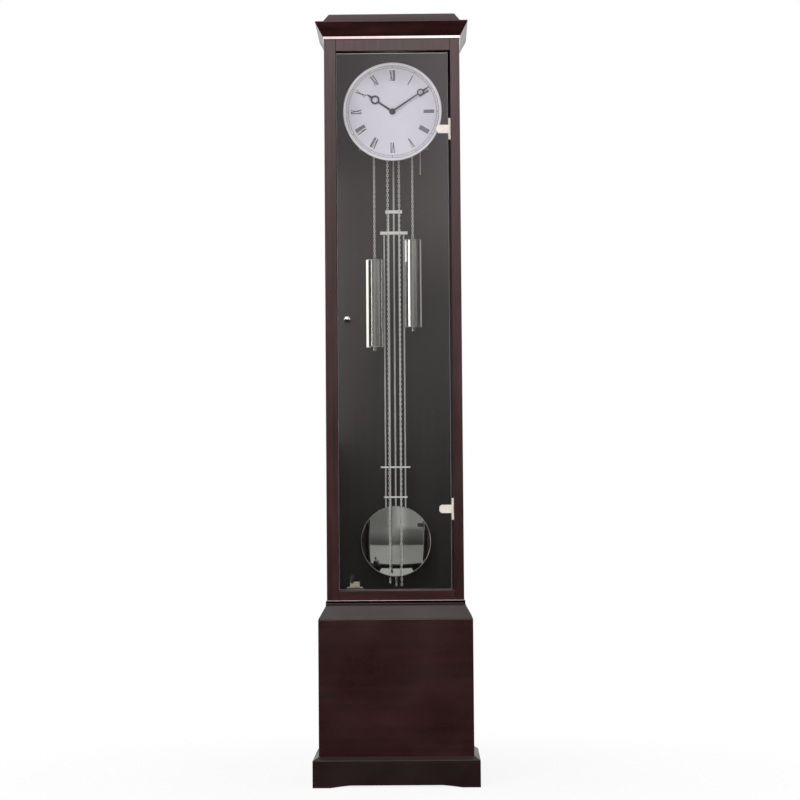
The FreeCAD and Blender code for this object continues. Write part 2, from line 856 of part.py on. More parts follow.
def make_time_train():
    front = front_plate_front
    back = back_plate_back

    great_y = front_plate_back + great_wheel_place
    second_y = front_plate_back + second_wheel_place
    centre_y = front_plate_back + centre_wheel_place
    third_y = front_plate_back + third_wheel_place
    escape_y = front_plate_back + escape_wheel_place

    great_phase = 0
    great_end = great_y + great_wheel_thickness
    great = gear(great_teeth, great_module, time_great_place, great_y, great_end, great_phase)
    shaft = arbor(
        time_great_place, great_arbor_radius, front_plate_back + end_shake, back_plate_front - end_shake
    )
    save("time_great_wheel", joined(great, shaft, arbor(time_great_place, arbor_radius, front, back)))

    second_end = second_y + wheel_thickness
    pinion_phase = mesh_phase(
        great_phase, great_teeth, time_great_place, great_pinion_teeth, time_second_place
    )
    second_phase = 0
    second = (second_teeth, second_module, time_second_place, second_y, second_end, second_phase)
    pinion_span = (great_y - pinion_overhang, great_end + pinion_overhang)
    pinion = (great_pinion_teeth, great_module, time_second_place, *pinion_span, pinion_phase)
    save("time_second_wheel", wheel_and_pinion(second, pinion, arbor_radius, front, back))

    centre_end = centre_y + wheel_thickness
    pinion_phase = mesh_phase(
        second_phase, second_teeth, time_second_place, second_pinion_teeth, centre_place
    )
    centre_phase = 0
    centre = (centre_teeth, centre_module, centre_place, centre_y, centre_end, centre_phase)
    pinion_span = (second_y - pinion_overhang, second_end + pinion_overhang)
    pinion = (second_pinion_teeth, second_module, centre_place, *pinion_span, pinion_phase)
    hand_end = dial_front - minute_hand_ahead - hand_nut_thickness
    save("centre_wheel", wheel_and_pinion(centre, pinion, arbor_radius, hand_end, back))

    third_end = third_y + wheel_thickness
    pinion_phase = mesh_phase(centre_phase, centre_teeth, centre_place, centre_pinion_teeth, third_place)
    third_phase = 0
    third = (third_teeth, third_module, third_place, third_y, third_end, third_phase)
    pinion_span = (centre_y - pinion_overhang, centre_end + pinion_overhang)
    pinion = (centre_pinion_teeth, centre_module, third_place, *pinion_span, pinion_phase)
    save("third_wheel", wheel_and_pinion(third, pinion, thin_arbor_radius, front, back))

    pinion_phase = mesh_phase(third_phase, third_teeth, third_place, third_pinion_teeth, escape_place)
    pinion_span = (third_y - pinion_overhang, third_end + pinion_overhang)
    pinion = gear(third_pinion_teeth, third_module, escape_place, *pinion_span, pinion_phase)
    lean_share = 0.2
    points = []
    for index in range(escape_teeth):
        for radius, part in ((escape_radius, 0), (escape_radius - escape_tooth_depth, lean_share)):
            angle = 2 * math.pi * (index + part) / escape_teeth
            points.append((radius * math.cos(angle), escape_place[1] + radius * math.sin(angle)))
    wheel = plate_xz(points, escape_y, escape_y + escape_wheel_thickness)
    save("escape_wheel", joined(wheel, pinion, arbor(escape_place, thin_arbor_radius, front, back)))

    make_pallets(escape_y)


def make_pallets(y0):
    """The anchor with two pallets over the escape wheel, its arbor and the crutch behind the back plate."""
    y1 = y0 + escape_wheel_thickness
    reach = escape_radius + pallet_gap
    diagonal = reach / math.sqrt(2)
    pallet_z = escape_place[1] + diagonal
    arbor_end = back_plate_back + crutch_behind_plate
    pieces = [arbor(pallet_place, thin_arbor_radius, front_plate_front, arbor_end)]
    for side in (-1, 1):
        x = side * diagonal
        out = side * pallet_width / math.sqrt(2)
        slope = pallet_length / math.sqrt(2)
        rise = pallet_width / math.sqrt(2)
        pallet = [
            (x, pallet_z),
            (x + out, pallet_z + rise),
            (x + out - side * slope, pallet_z + rise + slope),
            (x - side * slope, pallet_z + slope),
        ]
        pieces.append(plate_xz(pallet, y0, y1))
        arm = [
            (x + out - side * slope, pallet_z + rise + slope),
            (x - side * slope, pallet_z + slope),
            (-side * pallet_arm_width / 2, pivot_z - pallet_arm_width / 2),
            (0, pivot_z + pallet_arm_width / 2),
        ]
        pieces.append(plate_xz(arm, y0, y1))
    crutch_y = back_plate_back + crutch_behind_plate - crutch_thickness
    fork_z = pivot_z - crutch_drop
    half = crutch_width / 2
    pieces.append(box(-half, half, crutch_y, crutch_y + crutch_thickness, fork_z, pivot_z + half))
    inner = strap_half_width + crutch_gap
    outer = inner + crutch_prong
    cross = box(-outer, outer, crutch_y, crutch_y + crutch_thickness, fork_z, fork_z + crutch_fork_height)
    pieces.append(cross)
    for x in (-outer, inner):
        prong_end = pendulum_y + strap_thickness
        pieces.append(box(x, x + crutch_prong, crutch_y, prong_end, fork_z, fork_z + crutch_fork_height))
    save("pallet_anchor", joined(*pieces))


def make_motion_work():
    """Cannon pinion, minute wheel and hour wheel in front of the front plate, and the two hands."""
    cannon_module = 2 * motion_centres / (cannon_teeth + minute_wheel_teeth)
    hour_module = 2 * motion_centres / (minute_pinion_teeth + hour_wheel_teeth)
    cannon_y = front_plate_front - cannon_ahead_of_plate - motion_wheel_thickness
    hour_y = front_plate_front - hour_wheel_ahead_of_plate - motion_wheel_thickness
    cannon_end = front_plate_front - end_shake
    minute_hand_y = dial_front - minute_hand_ahead
    hour_hand_y = dial_front - hour_hand_ahead

    cannon = gear(cannon_teeth, cannon_module, centre_place, cannon_y, cannon_end, 0)
    pipe = rod_y(0, dial_z, minute_hand_y, cannon_end, centre_pipe_radius)
    bore = rod_y(0, dial_z, minute_hand_y, cannon_end, arbor_radius + pivot_clearance)
    save("cannon_pinion", joined(cannon, pipe).cut(bore))

    wheel_phase = mesh_phase(0, cannon_teeth, centre_place, minute_wheel_teeth, minute_place)
    wheel_span = (cannon_y, cannon_y + motion_wheel_thickness)
    wheel = gear(minute_wheel_teeth, cannon_module, minute_place, *wheel_span, wheel_phase)
    pinion = gear(minute_pinion_teeth, hour_module, minute_place, hour_y, cannon_y, 0)
    bore = rod_y(*minute_place, hour_y, cannon_end, minute_stud_radius + pivot_clearance)
    save("minute_wheel", joined(wheel, pinion).cut(bore))

    hour_phase = mesh_phase(0, minute_pinion_teeth, minute_place, hour_wheel_teeth, centre_place)
    hour_span = (hour_y, hour_y + motion_wheel_thickness)
    hour = gear(hour_wheel_teeth, hour_module, centre_place, *hour_span, hour_phase)
    pipe = rod_y(0, dial_z, hour_hand_y, hour_y + motion_wheel_thickness, hour_pipe_radius)
    bore_radius = centre_pipe_radius + pivot_clearance
    bore = rod_y(0, dial_z, hour_hand_y, hour_y + motion_wheel_thickness, bore_radius)
    save("hour_wheel", joined(hour, pipe).cut(bore))

    hour_hand = make_hand(
        hour_hand_length,
        hour_hand_ring_place,
        hour_hand_ring_radius,
        hour_hand_ring_band,
        hour_hand_root_width,
        hour_hand_tip_width,
        hour_hand_hub_radius,
        hour_pipe_radius + hand_fit,
        hour_hand_y,
        hour_hand_degrees,
    )
    save("hour_hand", hour_hand)
    minute_hand = make_hand(
        minute_hand_length,
        minute_hand_ring_place,
        minute_hand_ring_radius,
        minute_hand_ring_band,
        minute_hand_root_width,
        minute_hand_tip_width,
        minute_hand_hub_radius,
        arbor_radius + pivot_clearance,
        minute_hand_y - hand_thickness,
        minute_hand_degrees,
    )
    nut_end = minute_hand_y - hand_thickness
    nut = rod_y(0, dial_z, nut_end - hand_nut_thickness, nut_end, hand_nut_radius)
    nut = nut.cut(rod_y(0, dial_z, nut_end - hand_nut_thickness, nut_end, arbor_radius + pivot_clearance))
    save("minute_hand", minute_hand, nut)


def make_strike_train():
    front = front_plate_front
    back = back_plate_back
    great_y = front_plate_back + great_wheel_place
    second_y = front_plate_back + second_wheel_place
    pin_y = front_plate_back + strike_pin_wheel_place

    great_end = great_y + great_wheel_thickness
    great = gear(great_teeth, great_module, strike_great_place, great_y, great_end, 0)
    shaft = arbor(
        strike_great_place, great_arbor_radius, front_plate_back + end_shake, back_plate_front - end_shake
    )
    save("strike_great_wheel", joined(great, shaft, arbor(strike_great_place, arbor_radius, front, back)))

    second_end = second_y + wheel_thickness
    pinion_phase = mesh_phase(0, great_teeth, strike_great_place, great_pinion_teeth, strike_second_place)
    second = (second_teeth, strike_second_module, strike_second_place, second_y, second_end, 0)
    pinion_span = (great_y - pinion_overhang, great_end + pinion_overhang)
    pinion = (great_pinion_teeth, great_module, strike_second_place, *pinion_span, pinion_phase)
    save("strike_second_wheel", wheel_and_pinion(second, pinion, arbor_radius, front, back))

    pin_end = pin_y + wheel_thickness
    pinion_phase = mesh_phase(
        0, second_teeth, strike_second_place, strike_pin_pinion_teeth, strike_pin_place
    )
    wheel = gear(strike_pin_teeth, strike_pin_module, strike_pin_place, pin_y, pin_end, 0)
    pinion_span = (second_y - pinion_overhang, second_end + pinion_overhang)
    pinion = gear(
        strike_pin_pinion_teeth, strike_second_module, strike_pin_place, *pinion_span, pinion_phase
    )
    star_y = back + lifting_star_gap
    star = make_star(
        lifting_star_radius, lifting_star_root_radius, strike_pin_place, star_y, lifting_star_thickness
    )
    pin_arbor = arbor(strike_pin_place, thin_arbor_radius, front, star_y)
    save("strike_pin_wheel", joined(wheel, pinion, pin_arbor, star))

    pinion_phase = mesh_phase(
        0, strike_pin_teeth, strike_pin_place, strike_fly_pinion_teeth, strike_fly_place
    )
    pinion_span = (pin_y - pinion_overhang, pin_end + pinion_overhang)
    pinion = gear(strike_fly_pinion_teeth, strike_pin_module, strike_fly_place, *pinion_span, pinion_phase)
    x, z = strike_fly_place
    vane_y = front_plate_back + fly_place
    half = fly_thickness / 2
    vane = box(x - fly_half_span, x + fly_half_span, vane_y, vane_y + fly_length, z - half, z + half)
    fly_arbor = arbor(strike_fly_place, thin_arbor_radius, front, back)
    save("strike_fly", joined(pinion, vane, fly_arbor))

    make_hammer(star_y)


def make_star(radius, root_radius, place, y0, thickness):
    """A small star wheel whose points pass one after the other."""
    gap_share = 0.5
    points = []
    for index in range(lifting_point_count):
        for reach, part in ((radius, 0), (root_radius, gap_share)):
            points.append(polar_place(place, reach, 360 * (index + part) / lifting_point_count))
    return plate_xz(points, y0, y0 + thickness)


def make_hammer(star_y):
    """The hammer turns on a stud behind the back plate: a tail by the star, an arm and a head by the rod."""
    x, z = hammer_place
    head_z = z - hammer_head_drop
    head_end = gong_rod_x - gong_rod_radius - hammer_gap
    head_x = head_end - hammer_head_length / 2
    head = rod_x(head_end - hammer_head_length, head_end, gong_y, head_z, hammer_head_radius)
    half = hammer_arm_width / 2
    arm_y = gong_y - hammer_arm_thickness / 2
    arm_end = arm_y + hammer_arm_thickness
    outline = [(x - half, z), (x + half, z), (head_x + half, head_z), (head_x - half, head_z)]
    arm = plate_xz(outline, arm_y, arm_end)
    hub_y = back_plate_back + hammer_hub_gap
    hub = arbor(hammer_place, hammer_hub_radius, hub_y, arm_end)

    reach = math.hypot(strike_pin_place[0] - x, strike_pin_place[1] - z)
    span = reach - lifting_star_radius - hammer_tail_gap
    half = hammer_tail_width / 2
    tail = box(x - span, x, star_y, star_y + lifting_star_thickness, z - half, z + half)
    fall = math.degrees(math.atan2(z - strike_pin_place[1], x - strike_pin_place[0]))
    tail.rotate(V(x, 0, z), V(0, 1, 0), -fall)
    bore = arbor(hammer_place, hammer_stud_radius + pivot_clearance, hub_y, arm_end)
    save("strike_hammer", joined(hub, arm, head, tail).cut(bore))


def make_plates():
    holes = [
        (time_great_place, arbor_radius),
        (strike_great_place, arbor_radius),
        (time_second_place, arbor_radius),
        (centre_place, arbor_radius),
        (third_place, thin_arbor_radius),
        (escape_place, thin_arbor_radius),
        (pallet_place, thin_arbor_radius),
        (strike_second_place, arbor_radius),
        (strike_pin_place, thin_arbor_radius),
        (strike_fly_place, thin_arbor_radius),
    ]
    half = movement_half_width
    plates = []
    for y0 in (front_plate_front, back_plate_front):
        y1 = y0 + plate_thickness
        plate = box(-half, half, y0, y1, seat_top_z, movement_top_z)
        cutters = [rod_y(x, z, y0, y1, radius + pivot_clearance) for (x, z), radius in holes]
        plates.append(plate.cut(cutters))
    stud = arbor(
        minute_place, minute_stud_radius, front_plate_front - minute_stud_length, front_plate_front
    )
    hammer_end = gong_y + hammer_arm_thickness / 2
    hammer_stud = arbor(hammer_place, hammer_stud_radius, back_plate_back, hammer_end)
    save("movement_plates", joined(plates[0], stud), joined(plates[1], hammer_stud))

    pillars = []
    for x in (-half + pillar_inset, half - pillar_inset):
        for z in (seat_top_z + pillar_foot_inset, movement_top_z - pillar_foot_inset):
            pillars.append(rod_y(x, z, front_plate_back, back_plate_front, pillar_radius))
    save("plate_pillars", *pillars)


def make_seat():
    front = dial_front + seat_front_behind_dial
    back = front + seat_depth
    low = seat_top_z - seat_thickness
    board = box(-seat_half_width, seat_half_width, front, back, low, seat_top_z)
    holes = []
    for x in (sprocket_spread - sprocket_pitch_radius, sprocket_spread + sprocket_pitch_radius):
        for side in (-1, 1):
            holes.append(rod_z(side * x, chain_y, low, seat_top_z, seat_chain_hole_radius))
    save("movement_seat_board", board.cut(holes))

    toe = back - bracket_overlap
    heel = back_panel_front
    outline = [
        (toe, low),
        (back, low),
        (heel, low + bracket_rise),
        (heel, low + bracket_heel_height),
        (heel - bracket_thickness, low + bracket_heel_height),
        (toe, low + bracket_toe_height),
    ]
    web = plate_yz(outline, seat_half_width, seat_half_width + bracket_thickness)
    foot = box(
        seat_half_width,
        seat_half_width + bracket_foot_width,
        heel - bracket_thickness,
        heel,
        low + bracket_rise,
        low + bracket_heel_height,
    )
    bracket = joined(web, foot)
    save("seat_board_brackets", bracket, mirrored(bracket))


def make_suspension():
    low = pivot_z + cock_rise
    high = low + cock_thickness
    start = back_plate_back
    tongue = box(-cock_half_width, cock_half_width, start, pendulum_y + cock_overhang, low, high)
    flange_end = start + cock_flange_thickness
    flange = box(-cock_half_width, cock_half_width, start, flange_end, low, low + cock_flange_height)
    save("suspension_cock", joined(tongue, flange))

    half = spring_thickness / 2
    deep = spring_width / 2
    leaf_low = pivot_z - spring_half_length
    leaf = box(-half, half, pendulum_y - deep, pendulum_y + deep, leaf_low, pivot_z + spring_half_length)
    save("suspension_spring", leaf)


def make_pendulum():
    y = pendulum_y
    chops_top = pivot_z - spring_half_length
    chops_low = chops_top - chops_height
    half = chops_depth / 2
    chops = box(-chops_half_width, chops_half_width, y - half, y + half, chops_low, chops_top)
    strap_low = pivot_z - strap_drop
    half = strap_thickness / 2
    strap = box(-strap_half_width, strap_half_width, y - half, y + half, strap_low, chops_low)
    save("pendulum_leader", joined(chops, strap))

    bob_z = pivot_z - bob_drop
    rod_end_z = bob_z + rod_end_rise
    upper_z = pivot_z - upper_bar_drop
    second_z = pivot_z - second_bar_drop
    lowest_z = bob_z + bob_radius + lowest_bar_gap + lowest_bar_height / 2
    third_z = lowest_z + (lowest_bar_height + third_bar_height) / 2 + third_bar_gap
    rods = [rod_z(0, y, bob_z - rod_tail_drop, strap_low, rod_radius)]
    for x in (-inner_rod_spread, inner_rod_spread):
        rods.append(rod_z(x, y, rod_end_z, upper_z - upper_bar_height / 2, rod_radius))
    for x in (-outer_rod_spread, outer_rod_spread):
        rods.append(rod_z(x, y, rod_end_z, second_z - second_bar_height / 2, rod_radius))
    save("pendulum_rods", *rods)

    spreads = [0, inner_rod_spread, outer_rod_spread]
    bars = [
        make_bar(upper_z, upper_bar_width, upper_bar_height, spreads[:1]),
        make_bar(second_z, second_bar_width, second_bar_height, spreads[:2]),
        make_bar(third_z, third_bar_width, third_bar_height, spreads),
        make_bar(lowest_z, lowest_bar_width, lowest_bar_height, spreads),
    ]
    save("pendulum_crossbars", *bars)
    make_bob(bob_z)


def make_bar(z, width, height, spreads):
    """A crossbar of the gridiron, bored for the rods that pass through it."""
    y = pendulum_y
    deep = bar_depth / 2
    bar = box(-width / 2, width / 2, y - deep, y + deep, z - height / 2, z + height / 2)
    places = sorted({side * spread for spread in spreads for side in (-1, 1)})
    bore = rod_radius + bar_fit
    return bar.cut([rod_z(x, y, z - height / 2, z + height / 2, bore) for x in places])


def make_bob(bob_z):
    """A lens-shaped shell over a heavy disc, with a pocket for the rod ends and a bore for the middle rod."""
    y = pendulum_y
    half_rim = bob_rim / 2
    crown_centre = y - half_rim + math.sqrt(bob_crown_radius**2 - bob_radius**2)
    outer_ball = Part.makeSphere(bob_crown_radius, V(0, crown_centre, bob_z))
    inner_ball = Part.makeSphere(bob_crown_radius - bob_shell, V(0, crown_centre, bob_z))
    crown = bob_crown_radius
    shell = rod_y(0, bob_z, y - half_rim - crown, y + half_rim, bob_radius).common(outer_ball)
    inner_radius = bob_radius - bob_shell
    shell = shell.cut(rod_y(0, bob_z, y - half_rim - crown, y + half_rim, inner_radius).common(inner_ball))
    disc_radius = inner_radius - bob_fit
    disc = rod_y(0, bob_z, y - half_rim + bob_shell, y + half_rim, disc_radius)

    pocket_half = outer_rod_spread + rod_radius + bob_pocket_margin
    deep = bob_pocket_depth / 2
    top_z = bob_z + bob_radius
    pocket = box(-pocket_half, pocket_half, y - deep, y + deep, bob_z + bob_pocket_rise, top_z)
    bore = rod_z(0, y, bob_z - bob_radius, bob_z + bob_pocket_rise, rod_radius + bob_rod_clearance)
    cutters = [pocket, bore]
    save("pendulum_bob", shell.cut(cutters), disc.cut(cutters))

    nut_top = bob_z - bob_radius - nut_gap
    nut = rod_z(0, y, nut_top - nut_height, nut_top, nut_radius)
    nut = nut.cut(rod_z(0, y, nut_top - nut_height, nut_top, rod_radius + pivot_clearance))
    save("rating_nut", nut)


def make_sprocket(name, x):
    """Chain wheel: two flanges, a drum between them and a ratchet on the side of the great wheel."""
    inner = link_width / 2 + sprocket_side_gap
    outer = inner + sprocket_flange_thickness
    ratchet_front = chain_y - outer - ratchet_thickness
    drum_radius = sprocket_pitch_radius - link_width / 2 - sprocket_drum_gap
    place = (x, sprocket_z)
    lean_share = 0.15
    points = []
    for index in range(ratchet_teeth):
        for radius, part in ((ratchet_radius, 0), (ratchet_root_radius, lean_share)):
            points.append(polar_place(place, radius, 360 * (index + part) / ratchet_teeth))
    wheel = joined(
        arbor(place, drum_radius, chain_y - inner, chain_y + inner),
        arbor(place, sprocket_flange_radius, chain_y - outer, chain_y - inner),
        arbor(place, sprocket_flange_radius, chain_y + inner, chain_y + outer),
        plate_xz(points, ratchet_front, chain_y - outer),
    )
    bore = arbor(place, great_arbor_radius + pivot_clearance, ratchet_front, chain_y + outer)
    save(name, wheel.cut(bore))


def link_plate(x, z_low, length, wide_in_x):
    """One link of a long run, kept to its outer shape."""
    across = link_width / 2 if wide_in_x else link_wire / 2
    deep = link_wire / 2 if wide_in_x else link_width / 2
    return box(x - across, x + across, chain_y - deep, chain_y + deep, z_low, z_low + length)


def open_link(x, z_low, wide_in_x):
    """One open link: an oblong ring of wire."""
    across = link_width / 2
    thin = link_wire / 2
    hole = across - link_wire
    low, high = z_low + link_wire, z_low + link_length - link_wire
    if wide_in_x:
        body = box(x - across, x + across, chain_y - thin, chain_y + thin, z_low, z_low + link_length)
        return body.cut(box(x - hole, x + hole, chain_y - thin, chain_y + thin, low, high))
    body = box(x - thin, x + thin, chain_y - across, chain_y + across, z_low, z_low + link_length)
    return body.cut(box(x - thin, x + thin, chain_y - hole, chain_y + hole, low, high))


def chain_run(x, z_low, z_high, low_is_wide_in_x):
    """A hanging run: two open links at its lower end, then links kept to what shows from the front."""
    pitch = link_length - 2 * link_wire - link_gap
    low, high = (open_link(x, z_low, low_is_wide_in_x), open_link(x, z_low + pitch, not low_is_wide_in_x))
    links = [low, high]
    start = z_low + pitch + link_length
    count = round((z_high - start) / pitch / 2)
    scale = (z_high - start) / (count * pitch * 2)
    whole = link_length * scale
    between = pitch * scale * 2 - whole
    for index in range(count):
        foot = start + index * (whole + between)
        first, second = (whole, between) if low_is_wide_in_x else (between, whole)
        links.append(link_plate(x, foot, first, low_is_wide_in_x))
        links.append(link_plate(x, foot + first, second, not low_is_wide_in_x))
    return links


def chain_bend(x):
    """The links that lie over the top half of a sprocket."""
    count = round(math.pi * sprocket_pitch_radius / link_length)
    half_turn = math.pi / count / 2
    chord = 2 * sprocket_pitch_radius * math.tan(half_turn) - link_wire
    links = []
    for index in range(count):
        link = link_plate(x + sprocket_pitch_radius, sprocket_z - chord / 2, chord, index % 2 == 0)
        link.rotate(V(x, chain_y, sprocket_z), V(0, 1, 0), -math.degrees(half_turn * (2 * index + 1)))
        links.append(link)
    return links


def make_weight(name, side, drop):
    x = side * (sprocket_spread + sprocket_pitch_radius)
    top = sprocket_z - drop
    low = top - weight_length
    tube_low = low + weight_cap_thickness
    tube_top = top - weight_cap_thickness
    inner = weight_radius - weight_wall
    hollow = rod_z(x, chain_y, tube_low, tube_top, inner)
    tube = rod_z(x, chain_y, tube_low, tube_top, weight_radius).cut(hollow)
    save(name + "_weight_tube", tube)

    cap_radius = weight_radius + weight_cap_lip
    bore = rod_z(x, chain_y, low, top, weight_stem_radius + weight_fit)
    lower_cap = rod_z(x, chain_y, low, tube_low, cap_radius).cut(bore)
    upper_cap = rod_z(x, chain_y, tube_top, top, cap_radius).cut(bore)
    save(name + "_weight_caps", lower_cap, upper_cap)

    core = rod_z(x, chain_y, tube_low, tube_top, inner - weight_fit)
    stem_top = top + weight_stem_rise
    stem = rod_z(x, chain_y, low, stem_top, weight_stem_radius)
    nut = rod_z(x, chain_y, low - weight_nut_height, low, weight_nut_radius)
    eye_z = stem_top + weight_eye_hole_radius
    half = weight_eye_thickness / 2
    eye = rod_y(x, eye_z, chain_y - half, chain_y + half, weight_eye_radius)
    hole = rod_y(x, eye_z, chain_y - half, chain_y + half, weight_eye_hole_radius)
    save(name + "_weight_core", joined(core, stem, nut, eye).cut(hole))
    reach = math.sqrt(weight_eye_hole_radius**2 - (link_wire / 2) ** 2)
    return eye_z + reach - link_gap - link_wire


def make_chains():
    time_low = make_weight("time", 1, time_weight_drop)
    strike_low = make_weight("strike", -1, strike_weight_drop)
    far = sprocket_spread + sprocket_pitch_radius
    near = sprocket_spread - sprocket_pitch_radius
    save("time_chain", *chain_run(far, time_low, sprocket_z, False), *chain_bend(sprocket_spread))
    save("strike_chain", *chain_run(-far, strike_low, sprocket_z, False), *chain_bend(-sprocket_spread))
    save("time_chain_tail", *chain_run(near, sprocket_z - time_tail_drop, sprocket_z, True))
    tail_low = sprocket_z - strike_tail_drop
    save("strike_chain_tail", *chain_run(-near, tail_low, sprocket_z, True))

    shoulder_share = 0.3
    waist_share = 0.75
    tip_share = 0.5
    drop = turned(
        [
            (0, 0),
            (chain_drop_neck_radius, 0),
            (chain_drop_radius, -chain_drop_length * waist_share),
            (chain_drop_radius * waist_share, -chain_drop_length * (1 - shoulder_share / 3)),
            (chain_drop_radius * tip_share, -chain_drop_length),
            (0, -chain_drop_length),
        ],
        -near,
        chain_y,
        tail_low,
        V(0, 0, 1),
    )
    save("strike_chain_drop", drop)


def make_gong():
    y = gong_y
    block_z = dial_z + gong_block_rise
    left = gong_rod_x - gong_block_left
    deep = gong_block_depth / 2
    block = box(left, left + gong_block_width, y - deep, y + deep, block_z, block_z + gong_block_height)
    post_half = gong_post_width / 2
    post_z = block_z + gong_block_height / 2
    post_x = left + gong_block_width / 2
    post = box(
        post_x - post_half,
        post_x + post_half,
        y + deep,
        back_panel_front,
        post_z - post_half,
        post_z + post_half,
    )
    rod = rod_z(gong_rod_x, y, dial_z - gong_rod_drop, block_z, gong_rod_radius)
    save("rod_gong", joined(block, post), rod)


os.makedirs("parts", exist_ok=True)
make_case()
make_door()
make_catch()
make_dial()
make_seat()
make_plates()
make_time_train()
make_motion_work()
make_strike_train()
make_suspension()
make_pendulum()
make_sprocket("time_sprocket", sprocket_spread)
make_sprocket("strike_sprocket", -sprocket_spread)
make_chains()
make_gong()
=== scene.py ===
"""Longcase clock: the finished looks of a tall glazed case clock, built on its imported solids."""

import contextlib
import math
from math import radians

import bpy
from bpy.props import FloatProperty, FloatVectorProperty, PointerProperty, StringProperty
from mathutils import Matrix, Vector


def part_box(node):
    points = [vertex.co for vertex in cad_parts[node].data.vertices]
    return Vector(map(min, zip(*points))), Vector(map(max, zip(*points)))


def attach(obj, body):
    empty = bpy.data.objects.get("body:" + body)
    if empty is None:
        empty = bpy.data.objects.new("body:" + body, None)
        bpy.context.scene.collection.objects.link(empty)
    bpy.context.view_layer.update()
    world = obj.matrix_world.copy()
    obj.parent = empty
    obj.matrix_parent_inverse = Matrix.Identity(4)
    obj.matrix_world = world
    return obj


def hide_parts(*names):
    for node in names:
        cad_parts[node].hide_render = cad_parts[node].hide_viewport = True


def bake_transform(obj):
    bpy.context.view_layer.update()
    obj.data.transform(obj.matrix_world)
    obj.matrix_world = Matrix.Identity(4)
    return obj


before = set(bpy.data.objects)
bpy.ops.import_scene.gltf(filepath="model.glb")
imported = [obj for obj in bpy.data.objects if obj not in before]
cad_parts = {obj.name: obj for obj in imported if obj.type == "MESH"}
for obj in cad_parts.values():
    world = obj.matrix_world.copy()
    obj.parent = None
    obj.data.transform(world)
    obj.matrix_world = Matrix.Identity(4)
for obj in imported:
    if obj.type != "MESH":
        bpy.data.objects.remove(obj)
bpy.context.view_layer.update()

bl_info = {
    "name": "Longcase Clock",
    "version": (1, 0, 0),
    "blender": (4, 5, 0),
    "location": "View3D > Sidebar > Clock",
    "description": "Builds the finished pieces of a longcase clock on its packed solids",
    "category": "Object",
}

MM = 0.001
TRUNK_FRONT = -0.0915  # y of the trunk's front plane
DIAL_DEPTH, CHAIN_DEPTH, PENDULUM_DEPTH = 75, 112, 160  # in mm behind that plane
DIAL_HEIGHT, SPROCKET_HEIGHT = 1680 * MM, 1645 * MM
WEIGHT_X, TAIL_X = 48.5, 14.5  # in mm from the middle
BACKWARDS, UPWARDS = (0, 1, 0), (0, 0, 1)
HAIR = 0.01 * MM  # points nearer to each other than this are one
# sockets of a Mix node: its share, its two colours and their mix, its two values
MIX_FACTOR, MIX_A, MIX_B, MIX_COLOUR, MIX_FROM, MIX_TO = 0, 6, 7, 2, 2, 3
# settings and inputs that several nodes share; most values of a noise lie in the span
IN_COLOUR, SMOOTHLY = {"data_type": "RGBA"}, {"interpolation_type": "SMOOTHSTEP"}
TIMES, SCALED, LARGER = ({"operation": kind} for kind in ("MULTIPLY", "SCALE", "MAXIMUM"))
NOISE_SPAN = {"From Min": 0.3, "From Max": 0.7}


def depth(distance):
    """The y of a point that lies this many millimetres behind the trunk's front plane."""
    return TRUNK_FRONT + distance * MM


def linear(hex_colour):
    """An sRGB hex colour as the linear values that a shader takes."""
    parts = [int(hex_colour[i : i + 2], 16) / 255 for i in (1, 3, 5)]
    return (*(c / 12.92 if c <= 0.04045 else ((c + 0.055) / 1.055) ** 2.4 for c in parts), 1.0)


WHITE = linear("#FFFFFF")

# ---------------- materials


def blank(name):
    """A new material with an empty node tree."""
    made = bpy.data.materials.new(name)
    made.use_nodes = True
    made.node_tree.nodes.clear()
    return made, made.node_tree


def add(tree, kind, settings=(), values=(), links=()):
    """Adds one node with its settings, its constant inputs and its links.

    A link starts at a socket, or at the first socket of a node.
    """
    node = tree.nodes.new("ShaderNode" + kind)
    for key, value in dict(settings).items():
        setattr(node, key, value)
    for key, value in dict(values).items():
        node.inputs[key].default_value = value
    for key, source in dict(links).items():
        socket = source.outputs[0] if isinstance(source, bpy.types.Node) else source
        tree.links.new(socket, node.inputs[key])
    return node


